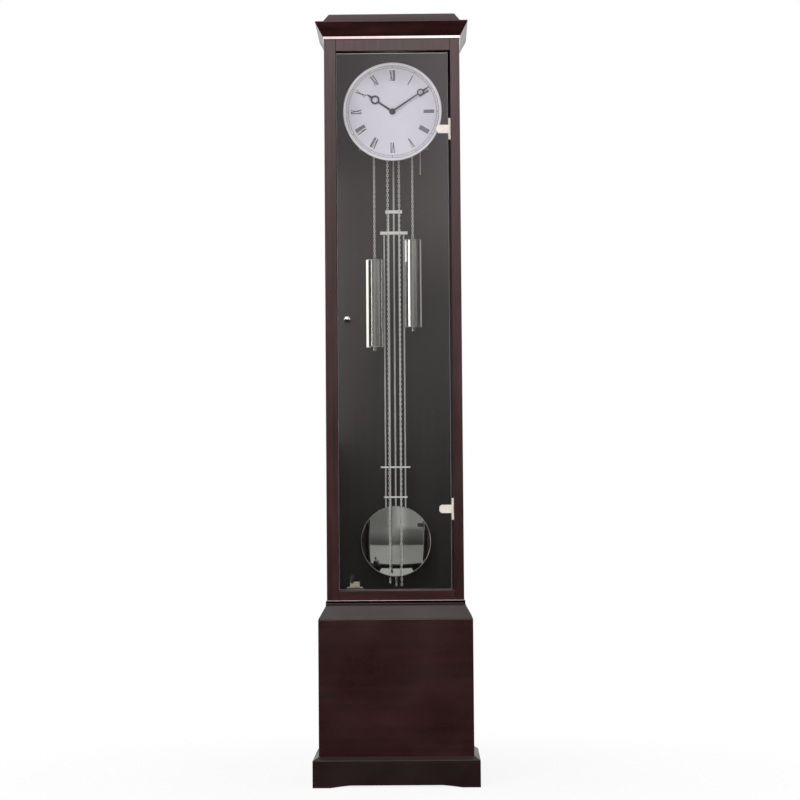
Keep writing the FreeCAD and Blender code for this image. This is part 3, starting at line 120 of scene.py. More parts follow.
def mahogany(name, dark, light, roughness, pore=1.0, coat=0.2):
    """Mahogany, planed and sanded, stained espresso brown and sprayed with satin lacquer.

    The eye sees a deep red-brown with faint ribbons 10 to 25 mm wide along each board, short dark
    pores, and a soft grey sheen of the lacquer over it.
    """
    made, tree = blank(name)
    grain = add(tree, "Attribute", {"attribute_name": "grain"}).outputs["Vector"]
    # ribbons: 14 mm across the board, some 400 mm long
    along = add(tree, "Mapping", (), {"Scale": (2.4, 70.0, 70.0)}, {"Vector": grain})
    values = {"Scale": 1.0, "Detail": 3.0, "Roughness": 0.55, "Distortion": 0.6}
    ribbon = add(tree, "TexNoise", (), values, {"Vector": along})
    # pores are 0.2 mm wide and too fine to show, so they are drawn 1.5 mm wide and 25 mm long
    fine = add(tree, "Mapping", (), {"Scale": (40.0, 650.0, 650.0)}, {"Vector": grain})
    values = {"Scale": 1.0, "Detail": 4.0, "Roughness": 0.7}
    pores = add(tree, "TexNoise", (), values, {"Vector": fine})
    # patches where the stain took unevenly, a hand wide
    cloud = add(tree, "TexNoise", (), {"Scale": 9.0, "Detail": 2.0}, {"Vector": grain})
    share = add(tree, "MapRange", (), {"From Min": 0.32, "From Max": 0.7}, {"Value": ribbon})
    tones = {MIX_A: linear(dark), MIX_B: linear(light)}
    stain = add(tree, "Mix", IN_COLOUR, tones, {MIX_FACTOR: share}).outputs[MIX_COLOUR]
    values = {"From Min": 0.36, "From Max": 0.62}
    values |= {"To Min": 1.0 - 0.34 * pore, "To Max": 1.0 + 0.06 * pore}
    pore_dark = add(tree, "MapRange", (), values, {"Value": pores})
    values = NOISE_SPAN | {"To Min": 0.84, "To Max": 1.14}
    cloud_dark = add(tree, "MapRange", (), values, {"Value": cloud})
    both = add(tree, "Math", TIMES, (), {0: pore_dark, 1: cloud_dark})
    colour = add(tree, "VectorMath", SCALED, (), {0: stain, "Scale": both})
    values = NOISE_SPAN | {"To Min": roughness - 0.05, "To Max": roughness + 0.07}
    sheen = add(tree, "MapRange", (), values, {"Value": cloud})
    values = {"Strength": 0.12 * pore, "Distance": 0.0002}
    bump = add(tree, "Bump", (), values, {"Height": pores})
    values = {"IOR": 1.5, "Coat Weight": coat, "Coat Roughness": 0.2, "Coat IOR": 1.5}
    links = {"Base Color": colour, "Roughness": sheen, "Normal": bump}
    shader = add(tree, "BsdfPrincipled", (), values, links)
    add(tree, "OutputMaterial", links={"Surface": shader})
    return made


def metal(name, base, roughness, scratch=0.05, brush=(1.0, 1.0, 1.0), tarnish=0.06):
    """A metal whose roughness and colour vary along fine polishing or brushing marks."""
    made, tree = blank(name)
    place = add(tree, "TexCoord").outputs["Object"]
    # marks are a few hundredths of a millimetre wide, drawn 1 mm wide so that they show
    values = {"Scale": tuple(900.0 * b for b in brush)}
    along = add(tree, "Mapping", (), values, {"Vector": place})
    values = {"Scale": 1.0, "Detail": 3.0, "Roughness": 0.6}
    marks = add(tree, "TexNoise", (), values, {"Vector": along})
    # smudges 30 mm wide
    smudge = add(tree, "TexNoise", (), {"Scale": 35.0, "Detail": 2.0}, {"Vector": place})
    values = NOISE_SPAN | {"To Min": max(0.02, roughness - scratch), "To Max": roughness + scratch}
    rough = add(tree, "MapRange", (), values, {"Value": marks})
    values = NOISE_SPAN | {"To Min": 1.0 - tarnish, "To Max": 1.0}
    shade = add(tree, "MapRange", (), values, {"Value": smudge})
    colour = add(tree, "VectorMath", SCALED, {0: linear(base)[:3]}, {"Scale": shade})
    links = {"Base Color": colour, "Roughness": rough}
    shader = add(tree, "BsdfPrincipled", (), {"Metallic": 1.0}, links)
    add(tree, "OutputMaterial", links={"Surface": shader})
    return made


def coated(name, low, high, roughness, ior, coat, grit=120.0):
    """A coating or moulding: two close tones in soft clouds, with a slightly uneven gloss.

    grit is how many clouds there are to the metre: at 120 each is 8 mm wide.
    """
    made, tree = blank(name)
    place = add(tree, "TexCoord").outputs["Object"]
    cloud = add(tree, "TexNoise", (), {"Scale": grit, "Detail": 3.0}, {"Vector": place})
    share = add(tree, "MapRange", (), NOISE_SPAN, {"Value": cloud})
    tones = {MIX_A: linear(low), MIX_B: linear(high)}
    tone = add(tree, "Mix", IN_COLOUR, tones, {MIX_FACTOR: share}).outputs[MIX_COLOUR]
    values = NOISE_SPAN | {"To Min": roughness - 0.03, "To Max": roughness + 0.04}
    gloss = add(tree, "MapRange", (), values, {"Value": cloud})
    values = {"IOR": ior, "Coat Weight": coat, "Coat Roughness": 0.08}
    shader = add(tree, "BsdfPrincipled", (), values, {"Base Color": tone, "Roughness": gloss})
    add(tree, "OutputMaterial", links={"Surface": shader})
    return made


def float_glass(name, clear_tint, deep_tint):
    """Clear float glass 5 mm thick, cut and polished.

    The eye sees straight through it, with a faint reflection on its face.  Shadow rays pass,
    because a thin sheet throws almost no shadow.
    """
    made, tree = blank(name)
    place = add(tree, "TexCoord").outputs["Object"]
    # the tint drifts over 170 mm
    drift = add(tree, "TexNoise", (), {"Scale": 6.0, "Detail": 2.0}, {"Vector": place})
    tints = {MIX_A: linear(clear_tint), MIX_B: linear(deep_tint)}
    tint = add(tree, "Mix", IN_COLOUR, tints, {MIX_FACTOR: drift}).outputs[MIX_COLOUR]
    values = {"Roughness": 0.0, "IOR": 1.45, "Transmission Weight": 1.0}
    pane = add(tree, "BsdfPrincipled", (), values, {"Base Color": tint})
    clear = add(tree, "BsdfTransparent", links={"Color": tint})
    shadow = add(tree, "LightPath").outputs["Is Shadow Ray"]
    passing = add(tree, "MixShader", links={0: shadow, 1: pane, 2: clear})
    add(tree, "OutputMaterial", links={"Surface": passing})
    return made


# ---------------- modelling


def activate(piece):
    """Makes this the only selected object and the active one."""
    bpy.ops.object.select_all(action="DESELECT")
    piece.select_set(True)
    bpy.context.view_layer.objects.active = piece


@contextlib.contextmanager
def editing(piece):
    """Edit mode, with every part of the piece selected."""
    activate(piece)
    bpy.ops.object.mode_set(mode="EDIT")
    bpy.ops.mesh.select_all(action="SELECT")
    yield
    bpy.ops.object.mode_set(mode="OBJECT")


def settle(piece):
    """Applies the piece's place, turn and scale, so that its object stands at the origin."""
    activate(piece)
    bpy.ops.object.transform_apply(location=True, rotation=True, scale=True)
    return piece


def modified(piece, kind, **settings):
    """Adds one modifier with its settings and applies it."""
    activate(piece)
    made = piece.modifiers.new(kind.title(), kind)
    for key, value in settings.items():
        setattr(made, key, value)
    bpy.ops.object.modifier_apply(modifier=made.name)
    return piece


def smoothed(piece, degrees=32):
    """Shades the piece smooth, with edges sharper than the angle kept crisp."""
    activate(piece)
    bpy.ops.object.shade_smooth_by_angle(angle=radians(degrees))
    return piece


def crisp(piece):
    """Shades an eased piece so that its flats stay flat and only the eased edges turn."""
    return modified(smoothed(piece), "WEIGHTED_NORMAL", keep_sharp=True, weight=90)


def twin(piece, name):
    """A copy of the piece with a mesh of its own."""
    made = piece.copy()
    made.data = piece.data.copy()
    made.name = name
    bpy.context.scene.collection.objects.link(made)
    return made


def joined(pieces, name):
    """Joins several objects to one and names it."""
    bpy.ops.object.select_all(action="DESELECT")
    for piece in pieces:
        piece.select_set(True)
    bpy.context.view_layer.objects.active = pieces[0]
    bpy.ops.object.join()
    pieces[0].name = name
    return settle(pieces[0])


def solid_copy(node, name, meeting=False):
    """A copy of a solid with its loose triangles merged to whole faces.

    Pieces that meet at a mitre become one shell, without the faces between them.
    """
    piece = twin(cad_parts[node], name)
    piece.parent = None
    piece.hide_render = piece.hide_viewport = False
    for key in list(piece.keys()):
        del piece[key]
    with editing(piece):
        bpy.ops.mesh.remove_doubles(threshold=HAIR)
        if meeting:
            bpy.ops.mesh.select_all(action="DESELECT")
            bpy.ops.mesh.select_interior_faces()
            bpy.ops.mesh.delete(type="FACE")
            bpy.ops.mesh.select_all(action="SELECT")
        bpy.ops.mesh.dissolve_limited(angle_limit=radians(0.5))
    return piece


def bevelled(piece, width, segments, degrees):
    """Bevels every edge that is sharper than the angle."""
    limit = radians(degrees)
    return modified(
        piece, "BEVEL", width=width, segments=segments, limit_method="ANGLE", angle_limit=limit
    )


def eased(node, name, radius, segments, meeting=False):
    """A solid's copy whose sharp edges are eased to a small radius."""
    return bevelled(solid_copy(node, name, meeting), radius, segments, 28)


def turned(name, outline, centre, axis, steps):
    """A turned piece: one vertex is extruded along an outline and spun round the axis.

    The outline holds pairs of a radius and a height along the axis.
    """
    centre, axis = Vector(centre), Vector(axis)
    places = [centre + Vector((r, 0, 0)) + axis * h for r, h in outline]
    bpy.ops.mesh.primitive_plane_add(size=0.0002, location=places[0])
    piece = settle(bpy.context.object)
    piece.name = name
    with editing(piece):
        bpy.ops.mesh.merge(type="CENTER")
        for start, end in zip(places, places[1:]):
            bpy.ops.mesh.extrude_vertices_move(TRANSFORM_OT_translate={"value": end - start})
        bpy.ops.mesh.select_all(action="SELECT")
        bpy.ops.mesh.spin(steps=steps, angle=2 * math.pi, center=centre, axis=axis)
        bpy.ops.mesh.select_all(action="SELECT")
        bpy.ops.mesh.remove_doubles(threshold=0.000002)
        bpy.ops.mesh.normals_make_consistent(inside=False)
    return smoothed(piece)


def in_mm(points):
    """The points of an outline that is given in millimetres."""
    return [(r * MM, h * MM) for r, h in points]


def rod(name, radius, x, y, low, high):
    """An upright polished rod with its ends chamfered."""
    bpy.ops.mesh.primitive_cylinder_add(
        vertices=24, radius=radius, depth=high - low, location=(x, y, (low + high) / 2)
    )
    piece = settle(bpy.context.object)
    piece.name = name
    return smoothed(bevelled(piece, radius * 0.25, 2, 50))


def board_grain(piece, run, offset):
    """Stores where each point lies along and across its board, for the grain to follow.

    run is long for the board's longest side, up, level, or mitred for a moulding with corners.
    """
    mesh = piece.data
    leader = list(range(len(mesh.polygons)))

    def root(i):
        while leader[i] != i:
            leader[i] = leader[leader[i]]
            i = leader[i]
        return i

    # faces that share an edge between just the two of them belong to one board
    meeting = {}
    for face in mesh.polygons:
        for key in face.edge_keys:
            meeting.setdefault(key, []).append(face.index)
    for faces in meeting.values():
        if len(faces) == 2:
            leader[root(faces[0])] = root(faces[1])
    boards = {}
    for face in mesh.polygons:
        boards.setdefault(root(face.index), []).append(face)
    grain = mesh.attributes.new("grain", "FLOAT_VECTOR", "CORNER")
    for number, faces in enumerate(boards.values()):
        spots = [mesh.vertices[i].co for face in faces for i in face.vertices]
        spans = [max(s[k] for s in spots) - min(s[k] for s in spots) for k in range(3)]
        longest = {"up": 2, "level": 0}.get(run, spans.index(max(spans)))
        shift = offset + 1.37 * number
        for corner in (i for face in faces for i in face.loop_indices):
            spot = mesh.vertices[mesh.loops[corner].vertex_index].co
            if run == "mitred":
                value = (spot.x + spot.y + shift, spot.z + shift, 0.05 * (spot.x - spot.y))
            else:
                across = [spot[k] for k in range(3) if k != longest]
                value = (spot[longest] + shift, across[0] + shift, across[1])
            grain.data[corner].vector = value


def placed(piece, body, material, node, stands_for=True):
    """Puts a finished piece on its body, with its material, in the node's stead."""
    piece.data.materials.clear()
    piece.data.materials.append(material)
    if stands_for:
        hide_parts(node)
    if body:
        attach(piece, body)


def coat(material, *nodes):
    """Gives solids that keep their shape this material."""
    for node in nodes:
        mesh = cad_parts[node].data
        mesh.materials.clear()
        mesh.materials.append(material)


# ---------------- settings


class ClockCaseSettings(bpy.types.PropertyGroup):
    """Sizes and colours of the case."""

    edge: FloatProperty(
        name="Edge radius", description="Radius of the sanded board edges",
        default=1.2 * MM, min=0.0, unit="LENGTH",
    )
    bead: FloatProperty(
        name="Bead radius", description="Rounding of the silver bands",
        default=0.7 * MM, min=0.0, unit="LENGTH",
    )
    gloss: FloatProperty(
        name="Lacquer roughness", description="0 is a mirror, 1 is matt",
        default=0.32, min=0.1, max=1.0, subtype="FACTOR",
    )
    stain_dark: StringProperty(
        name="Dark stain", description="sRGB hex colour of the darker ribbons", default="#230B09"
    )
    stain_light: StringProperty(
        name="Light stain", description="sRGB hex colour of the lighter ribbons", default="#3C1818"
    )


class ClockDialSettings(bpy.types.PropertyGroup):
    """Sizes and colours of the dial."""

    numeral_foot: FloatProperty(
        name="Numeral foot", description="Radius at which the numerals stand",
        default=78.6 * MM, unit="LENGTH",
    )
    numeral_height: FloatProperty(
        name="Numeral height", description="Height of the hour numerals",
        default=26.5 * MM, unit="LENGTH",
    )
    track: FloatProperty(
        name="Minute track", description="Radius of the minute marks",
        default=114.4 * MM, unit="LENGTH",
    )
    ink: FloatProperty(
        name="Ink thickness", description="How far the print stands proud",
        default=0.12 * MM, unit="LENGTH",
    )
    enamel: StringProperty(
        name="Enamel", description="sRGB hex colour of the dial", default="#D9D5E6"
    )


class ClockMetalSettings(bpy.types.PropertyGroup):
    """Finish of the bright metal and shape of the bob."""

    chrome: StringProperty(
        name="Chrome", description="sRGB hex colour of polished chrome", default="#D9D9DB"
    )
    polish: FloatProperty(
        name="Chrome roughness", description="0 is a mirror",
        default=0.06, min=0.0, max=1.0, subtype="FACTOR",
    )
    crown: FloatProperty(
        name="Bob crown radius", description="Radius of the bob's domed front",
        default=300.0 * MM, unit="LENGTH",
    )


class ClockChainSettings(bpy.types.PropertyGroup):
    """Sizes of one chain link."""

    wire: FloatProperty(name="Wire", description="Wire thickness", default=1.6 * MM, unit="LENGTH")
    width: FloatProperty(
        name="Link width", description="Outer width", default=5.8 * MM, unit="LENGTH"
    )
    length: FloatProperty(
        name="Link length", description="Outer length", default=9.2 * MM, unit="LENGTH"
    )
    pitch: FloatProperty(
        name="Pitch", description="Step from link to link", default=6.3 * MM, unit="LENGTH"
    )


class ClockStageSettings(bpy.types.PropertyGroup):
    """Camera, lamps and floor."""

    lens: FloatProperty(
        name="Lens", description="Focal length in millimetres on a 36 mm sensor",
        default=94.77, min=10.0, unit="CAMERA",
    )
    eye: FloatVectorProperty(
        name="Camera place", description="Where the camera stands",
        default=(0.079, -5.2915, 0.676), subtype="TRANSLATION",
    )
    key: FloatProperty(
        name="Key lamp", description="Power of the large front lamp", default=82.0, unit="POWER"
    )
    panel: FloatProperty(
        name="Side panels", description="Power of the tall panels beside the clock",
        default=18.0, unit="POWER",
    )
    sky: FloatProperty(
        name="Fill", description="Strength of the even light from all round",
        default=0.45, min=0.0, subtype="FACTOR",
    )


# ---------------- operators


class CLOCK_OT_case_boards(bpy.types.Operator):
    """Dress the boards and mouldings of the case in lacquered mahogany with eased edges"""

    bl_idname = "clock.case_boards"
    bl_label = "Case boards"

    def execute(self, context):
        case = context.scene.clock_case
        outside = mahogany(
            "lacquered_mahogany_sprayed", case.stain_dark, case.stain_light, case.gloss
        )
        # veneer on board: ribbons so close in tone that the panel looks calm
        quiet = mahogany("lacquered_mahogany_veneered", "#260D0D", "#331212", case.gloss)
        # painted shade: a darker copy of the lacquered mahogany, a little rougher and without the
        # clear coat, for the plinth and the sloped collar
        shaded_moulding = mahogany(
            "lacquered_mahogany_painted_shade", "#170806", "#220A0A", case.gloss + 0.1, 1.0, 0.0
        )
        # ply, stained only: nearly black brown and dull
        inside = mahogany("stained_ply_veneered", "#1B1516", "#261F20", case.gloss + 0.18, 0.0)
        boards = [
            ("plinth_boards", "mitred", shaded_moulding),
            ("base_front_panel", "level", quiet),
            ("base_side_panels", "level", quiet),
            ("collar_moulding", "mitred", shaded_moulding),
            ("front_frame", "long", outside),
            ("trunk_side_panels", "up", outside),
            ("cornice_moulding", "mitred", outside),
            ("top_cap", "mitred", outside),
            ("back_panels", "up", inside),
            ("inner_boards", "long", inside),
            ("movement_seat_board", "level", inside),
        ]
        for number, (node, run, material) in enumerate(boards):
            piece = eased(node, node + "_finished", case.edge, 2, run == "mitred")
            board_grain(piece, run, 3.1 * number)
            placed(piece, "case", material, node)
        return {"FINISHED"}


class CLOCK_OT_trim_bands(bpy.types.Operator):
    """Round the two silver bands and give them their bright finish"""

    bl_idname = "clock.trim_bands"
    bl_label = "Trim bands"

    def execute(self, context):
        # aluminium strip, extruded and bright dipped: a white metal line that mirrors softly
        silver = metal("aluminium_bright_dipped", "#CEC1BC", 0.08, 0.03, (0.02, 0.02, 1.0), 0.1)
        radius = context.scene.clock_case.bead
        piece = crisp(eased("trim_bands", "trim_bands_rounded", radius, 4, True))
        placed(piece, "case", silver, "trim_bands")
        return {"FINISHED"}


class CLOCK_OT_glass_door(bpy.types.Operator):
    """Make the frameless glass door pane with its polished edges"""

    bl_idname = "clock.glass_door"
    bl_label = "Glass door"

    def execute(self, context):
        pane = float_glass("float_glass_clear", "#FDFEFE", "#FAFCFB")
        # the rims and chamfers of the sheet get a pale grey diffuse finish: a painted highlight
        # along the pane's edges
        edge_highlight = coated("float_glass_edge_painted_highlight", "#D5DADA", "#E3E7E7", 0.3, 1.5, 0.0, 60.0)
        piece = solid_copy("door_glass", "door_glass_pane")
        placed(bevelled(piece, 2.3 * MM, 1, 50), "door", pane, "door_glass")
        piece.data.materials.append(edge_highlight)
        # the painted highlight goes on every face that doesn't look front or back
        for face in piece.data.polygons:
            if abs(face.normal.y) < 0.9:
                face.material_index = 1
        return {"FINISHED"}


class CLOCK_OT_door_fittings(bpy.types.Operator):
    """Make the knob, hinge clamps, hinge leaves, strike and catch of the door"""

    bl_idname = "clock.door_fittings"
    bl_label = "Door fittings"

    def execute(self, context):
        metals = context.scene.clock_metal
        # chrome on polished brass: a clear mirror, a shade darker than white
        chrome = metal("chrome_plated_brass_polished", metals.chrome, metals.polish, 0.02)
        # zinc casting, tumbled and lacquered pale silver: bright and soft, with no mirror image
        satin = coated("zinc_cast_lacquered_silver", "#DAD2C9", "#E6DED6", 0.34, 1.5, 0.3)
        # steel, stamped and zinc plated: grey with a dull shine
        steel = metal("steel_zinc_plated", "#C4C6C9", 0.28, 0.05, (1.0, 1.0, 0.1), 0.12)
        # ABS, moulded, aged to ivory: a soft satin plastic
        ivory = coated("abs_moulded_ivory", "#928A77", "#9E9686", 0.42, 1.53, 0.0)
        placed(self.knob(), "door", chrome, "door_knob")
        fittings = (
            ("door_hinge_clamps", "door", satin, 0.8, 3),
            ("door_hinge_leaves", "case", satin, 0.5, 2),
            ("door_strike", "door", steel, 0.3, 2),
            ("door_magnet_catch", "case", ivory, 0.8, 2),
        )
        for node, body, material, radius, segments in fittings:
            piece = crisp(eased(node, node + "_eased", radius * MM, segments))
            placed(piece, body, material, node)
        return {"FINISHED"}

    def knob(self):
        """A mushroom knob with a collar, and the nut behind the glass."""
        outline = [
            (0.0, -10.5), (2.6, -10.4), (5.2, -9.8), (7.2, -8.6), (8.3, -7.0), (8.5, -5.6),
            (8.1, -4.4), (6.2, -3.3), (4.2, -2.4), (3.4, -1.2), (3.4, 0.8), (3.9, 2.0), (5.6, 2.8),
            (6.0, 3.9), (2.2, 3.9), (2.2, 9.1), (5.2, 9.1), (5.4, 9.6), (5.4, 11.4), (4.9, 12.0),
            (0.0, 12.0),
        ]
        spot = (-115 * MM, depth(0), 1147 * MM)
        return turned("door_knob_turned", in_mm(outline), spot, BACKWARDS, 64)


class CLOCK_OT_dial(bpy.types.Operator):
    """Enamel the dial and print its hour numerals and minute circle"""

    bl_idname = "clock.dial"
    bl_label = "Dial"

    def execute(self, context):
        dial = context.scene.clock_dial
        self.centre = Vector((0.0, depth(DIAL_DEPTH) - dial.ink, DIAL_HEIGHT))
        # the print stops short of the enamel, so that no two faces lie in one plane
        self.ink = dial.ink * 0.9
        # vitreous enamel on copper, fired and glossy: an even cool white with a wet gloss
        enamel = coated("vitreous_enamel_fired", dial.enamel, "#DFDBEB", 0.2, 1.52, 0.3, 30.0)
        # printing ink, baked: violet black, satin
        ink = coated("enamel_ink_baked", "#1B1822", "#242030", 0.5, 1.5, 0.0, 400.0)
        coat(enamel, "dial_plate")
        placed(self.numerals(dial), "case", ink, "dial_plate", False)
        placed(self.minute_circle(dial), "case", ink, "dial_plate", False)
        return {"FINISHED"}

    def stroke(self, width, low, high, foot, head):
        """A flat stroke between two heights, leaning from foot to head, cut level at both ends."""
        length = high - low
        lean = math.atan2(head - foot, length)
        middle = ((foot + head) / 2, 0, (low + high) / 2)
        bpy.ops.mesh.primitive_plane_add(size=1.0, location=middle, rotation=(radians(90), lean, 0))
        made = bpy.context.object
        made.scale = (width, length / math.cos(lean) + width, 1.0)
        with editing(settle(made)):
            for level, side in ((low, -1), (high, 1)):
                bpy.ops.mesh.select_all(action="SELECT")
                bpy.ops.mesh.bisect(plane_co=(0, 0, level), plane_no=(0, 0, side), clear_outer=True)
        return made

    def letter(self, kind, height):
        """One Roman letter that stands on z = 0: thick and thin strokes with thin serifs."""
        thick, thin, serif = height * 0.084, height * 0.045, height * 0.032
        half, top = height * 0.11, height - serif
        if kind == "I":
            strokes = [self.stroke(thick, 0, height, 0, 0)]
            feet, reach = [(0, 0), (0, top)], height * 0.054
        else:
            # the strokes of a V meet at its foot, those of an X cross
            foot = 0 if kind == "V" else half
            strokes = [
                self.stroke(thick, 0, height, foot, -half),
                self.stroke(thin, 0, height, -foot, half),
            ]
            feet, reach = [(-half, top), (half, top)], height * 0.075
            if kind == "X":
                feet += [(-half, 0), (half, 0)]
        strokes += [self.stroke(2 * reach, z, z + serif, x, x) for x, z in feet]
        return joined(strokes, "letter_" + kind)

    def numerals(self, dial):
        """The twelve hour numerals, each turned so that it stands on the dial's centre."""
        height = dial.numeral_height
        letters = {kind: self.letter(kind, height) for kind in "IVX"}
        widths = {"I": height * 0.108, "V": height * 0.31, "X": height * 0.33}
        words = "XII I II III IIII V VI VII VIII IX X XI"
        printed = []
        for hour, word in enumerate(words.split()):
            start = -sum(widths[kind] for kind in word) / 2
            for kind in word:
                place = (start + widths[kind] / 2, 0, dial.numeral_foot)
                printed.append(self.set_round(twin(letters[kind], "numeral"), 30 * hour, place))
                start += widths[kind]
        for made in letters.values():
            bpy.data.objects.remove(made)
        return self.thickened(joined(printed, "hour_numerals_printed"))

    def set_round(self, piece, degrees, place):
        """Sets a flat piece at a place above the dial's centre, then turns both round it."""
        turn = Matrix.Rotation(radians(degrees), 4, "Y")
        piece.matrix_world = Matrix.Translation(self.centre) @ turn @ Matrix.Translation(place)
        return settle(piece)

    def thickened(self, piece):
        """Gives the flat print the ink's thickness, towards the dial."""
        with editing(piece):
            bpy.ops.mesh.extrude_region_move(TRANSFORM_OT_translate={"value": (0, self.ink, 0)})
            bpy.ops.mesh.select_all(action="SELECT")
            bpy.ops.mesh.normals_make_consistent(inside=False)
        return piece

    def minute_circle(self, dial):
        """Two thin circles with a mark for each minute between them, a dot for every fifth."""
        line, mark, dot = 0.4 * MM, 2.6 * MM, 1.3 * MM
        pieces = []
        for radius in (dial.track - 2.6 * MM, dial.track + 2.8 * MM):
            low, high, back = radius - line, radius + line, self.ink
            outline = [(low, 0), (high, 0), (high, back), (low, back), (low, 0)]
            pieces.append(turned("minute_circle_line", outline, self.centre, BACKWARDS, 180))
        marks = []
        for minute in range(60):
            if minute % 5:
                made = self.stroke(0.5 * MM, -mark / 2, mark / 2, 0, 0)
            else:
                bpy.ops.mesh.primitive_circle_add(
                    vertices=16, radius=dot, fill_type="NGON", rotation=(radians(90), 0, 0)
                )
                made = settle(bpy.context.object)
            marks.append(self.set_round(made, 6 * minute, (0, 0, dial.track)))
        marks = self.thickened(joined(marks, "minute_marks"))
        return joined([*pieces, marks], "minute_track_printed")


class CLOCK_OT_bezel(bpy.types.Operator):
    """Turn the stepped silver ring round the dial"""

    bl_idname = "clock.bezel"
    bl_label = "Dial ring"

    def execute(self, context):
        # aluminium, turned and lacquered silver white: a pale ring that shines softly all round
        silver = coated(
            "aluminium_ring_lacquered_silver", "#E6E5EC", "#F0EFF5", 0.2, 1.5, 0.6, 40.0
        )
        # radii, and depths behind the trunk's front plane
        section = [
            (118.0, 77.9), (118.0, 74.4), (118.5, 73.6), (119.3, 73.4), (119.6, 73.9),
            (119.9, 73.6), (120.2, 72.2), (121.0, 70.9), (122.3, 70.1), (123.6, 70.3),
            (124.6, 71.2), (125.0, 72.6), (125.0, 77.4), (124.6, 78.0), (118.2, 78.0),
            (118.0, 77.9),
        ]
        outline = in_mm((r, h - DIAL_DEPTH) for r, h in section)
        centre = (0, depth(DIAL_DEPTH), DIAL_HEIGHT)
        piece = turned("dial_ring_turned", outline, centre, BACKWARDS, 192)
        placed(piece, "case", silver, "dial_bezel")
        return {"FINISHED"}


class CLOCK_OT_hands(bpy.types.Operator):
    """Finish the hour and minute hands"""

    bl_idname = "clock.hands"
    bl_label = "Hands"

    def execute(self, context):
        # steel, stamped and blued to violet black: satin, darker than the print
        black = coated("steel_stamped_blued", "#211E29", "#2C2834", 0.42, 1.5, 0.0, 250.0)
        for node, body in (("hour_hand", "hour_pipe"), ("minute_hand", "minute_pipe")):
            piece = self.swelled(eased(node, node + "_eased", 0.12 * MM, 1), 0.35 * MM)
            if body == "minute_pipe":
                # the cap nut hides the end of the arbor
                dome = [
                    (0.0, 65.2), (1.5, 65.3), (2.6, 65.7), (3.2, 66.2), (3.4, 66.7), (0.0, 66.7),
                ]
                foot = (0, depth(0), DIAL_HEIGHT)
                cap = turned("hand_cap_nut", in_mm(dome), foot, BACKWARDS, 32)
                piece = joined([piece, cap], node + "_eased")
            placed(crisp(piece), body, black, node)
        return {"FINISHED"}

    def swelled(self, piece, amount):
        """Swells the outline of a flat piece and keeps its thickness."""
        rows = [vertex.co.y for vertex in piece.data.vertices]
        middle, thickness = (min(rows) + max(rows)) / 2, max(rows) - min(rows)
        with editing(piece):
            bpy.ops.transform.shrink_fatten(value=amount)
        rows = [vertex.co.y for vertex in piece.data.vertices]
        share = thickness / (max(rows) - min(rows))
        for vertex in piece.data.vertices:
            vertex.co.y = middle + (vertex.co.y - middle) * share
        return piece


class CLOCK_OT_pendulum(bpy.types.Operator):
    """Build the gridiron pendulum: rods, bars, domed bob and rating nut"""

    bl_idname = "clock.pendulum"
    bl_label = "Pendulum"

    def execute(self, context):
        metals = context.scene.clock_metal
        # steel, spun and chrome plated: a dark mirror with a bright rim
        chrome = metal("steel_chrome_plated_polished", metals.chrome, metals.polish, 0.02)
        # aluminium rod, drawn and anodised silver: pale grey with one soft line of light
        bright = coated("aluminium_rod_anodised_silver", "#B5B6B6", "#C2C2C2", 0.22, 1.6, 0.8, 60.0)
        # steel bar, sprayed silver: nearly white
        satin = coated("steel_bar_sprayed_silver", "#E6E6E4", "#F0F0EE", 0.3, 1.5, 0.3, 60.0)
        # place aside, radius and the heights of both ends
        runs = [(0.0, 2.2, 482, 1640)]
        for side in (-1, 1):
            runs += [(13.4 * side, 2.0, 658, 1433), (25.0 * side, 2.0, 658, 1379)]
        low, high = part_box("pendulum_rods")
        rods = []
        for x, radius, foot, head in runs:
            foot = max(foot * MM, low.z)
            head = min(head * MM, high.z)
            rods.append(rod("rod", radius * MM, x * MM, depth(PENDULUM_DEPTH), foot, head))
        placed(joined(rods, "pendulum_rods_polished"), "pendulum", bright, "pendulum_rods")
        bars = crisp(eased("pendulum_crossbars", "pendulum_crossbars_eased", 0.9 * MM, 3))
        placed(bars, "pendulum", satin, "pendulum_crossbars")
        placed(self.bob(metals), "bob", chrome, "pendulum_bob")
        placed(self.nut(), "rating_nut", chrome, "rating_nut")
        coat(bright, "pendulum_leader")
        return {"FINISHED"}

    def bob(self, metals):
        """A domed disc with a rolled rim."""
        radius, rim = 89.5 * MM, 8.0 * MM
        centre = (0, depth(PENDULUM_DEPTH), 596 * MM)
        reach = radius - 2.6 * MM
        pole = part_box("pendulum_bob")[0].y - centre[1]
        outline = []
        for step in range(17):
            r = reach * step / 16
            outline.append((r, pole + metals.crown - math.sqrt(metals.crown**2 - r * r)))
        front = outline[-1][1]
        # a fine groove, then the flat rolled rim
        rolled = [
            (0.15, 0.7), (0.5, 0.8), (0.7, 0.3), (1.1, 0.1), (2.0, 0.15), (2.4, 0.45), (2.6, 1.0),
        ]
        outline += [(reach + r * MM, front + h * MM) for r, h in rolled]
        for inwards, short in ((0.0, 1.4), (0.5, 0.4), (1.4, 0.0)):
            outline.append((radius - inwards * MM, rim - short * MM))
        return turned("pendulum_bob_spun", [*outline, (0.0, rim)], centre, BACKWARDS, 160)

    def nut(self):
        """A knurled nut with two grooves."""
        outline = [
            (0.0, 0.0), (4.6, 0.0), (5.7, 0.7), (6.0, 1.2), (6.0, 4.2), (5.4, 4.6), (5.4, 5.2),
            (6.0, 5.6), (6.0, 8.6), (5.4, 9.0), (5.4, 9.6), (6.0, 10.0), (6.0, 12.8), (5.7, 13.3),
            (4.6, 14.0), (0.0, 14.0),
        ]
        foot = (0, depth(PENDULUM_DEPTH), 492.3 * MM)
        return turned("rating_nut_knurled", in_mm(outline), foot, UPWARDS, 32)


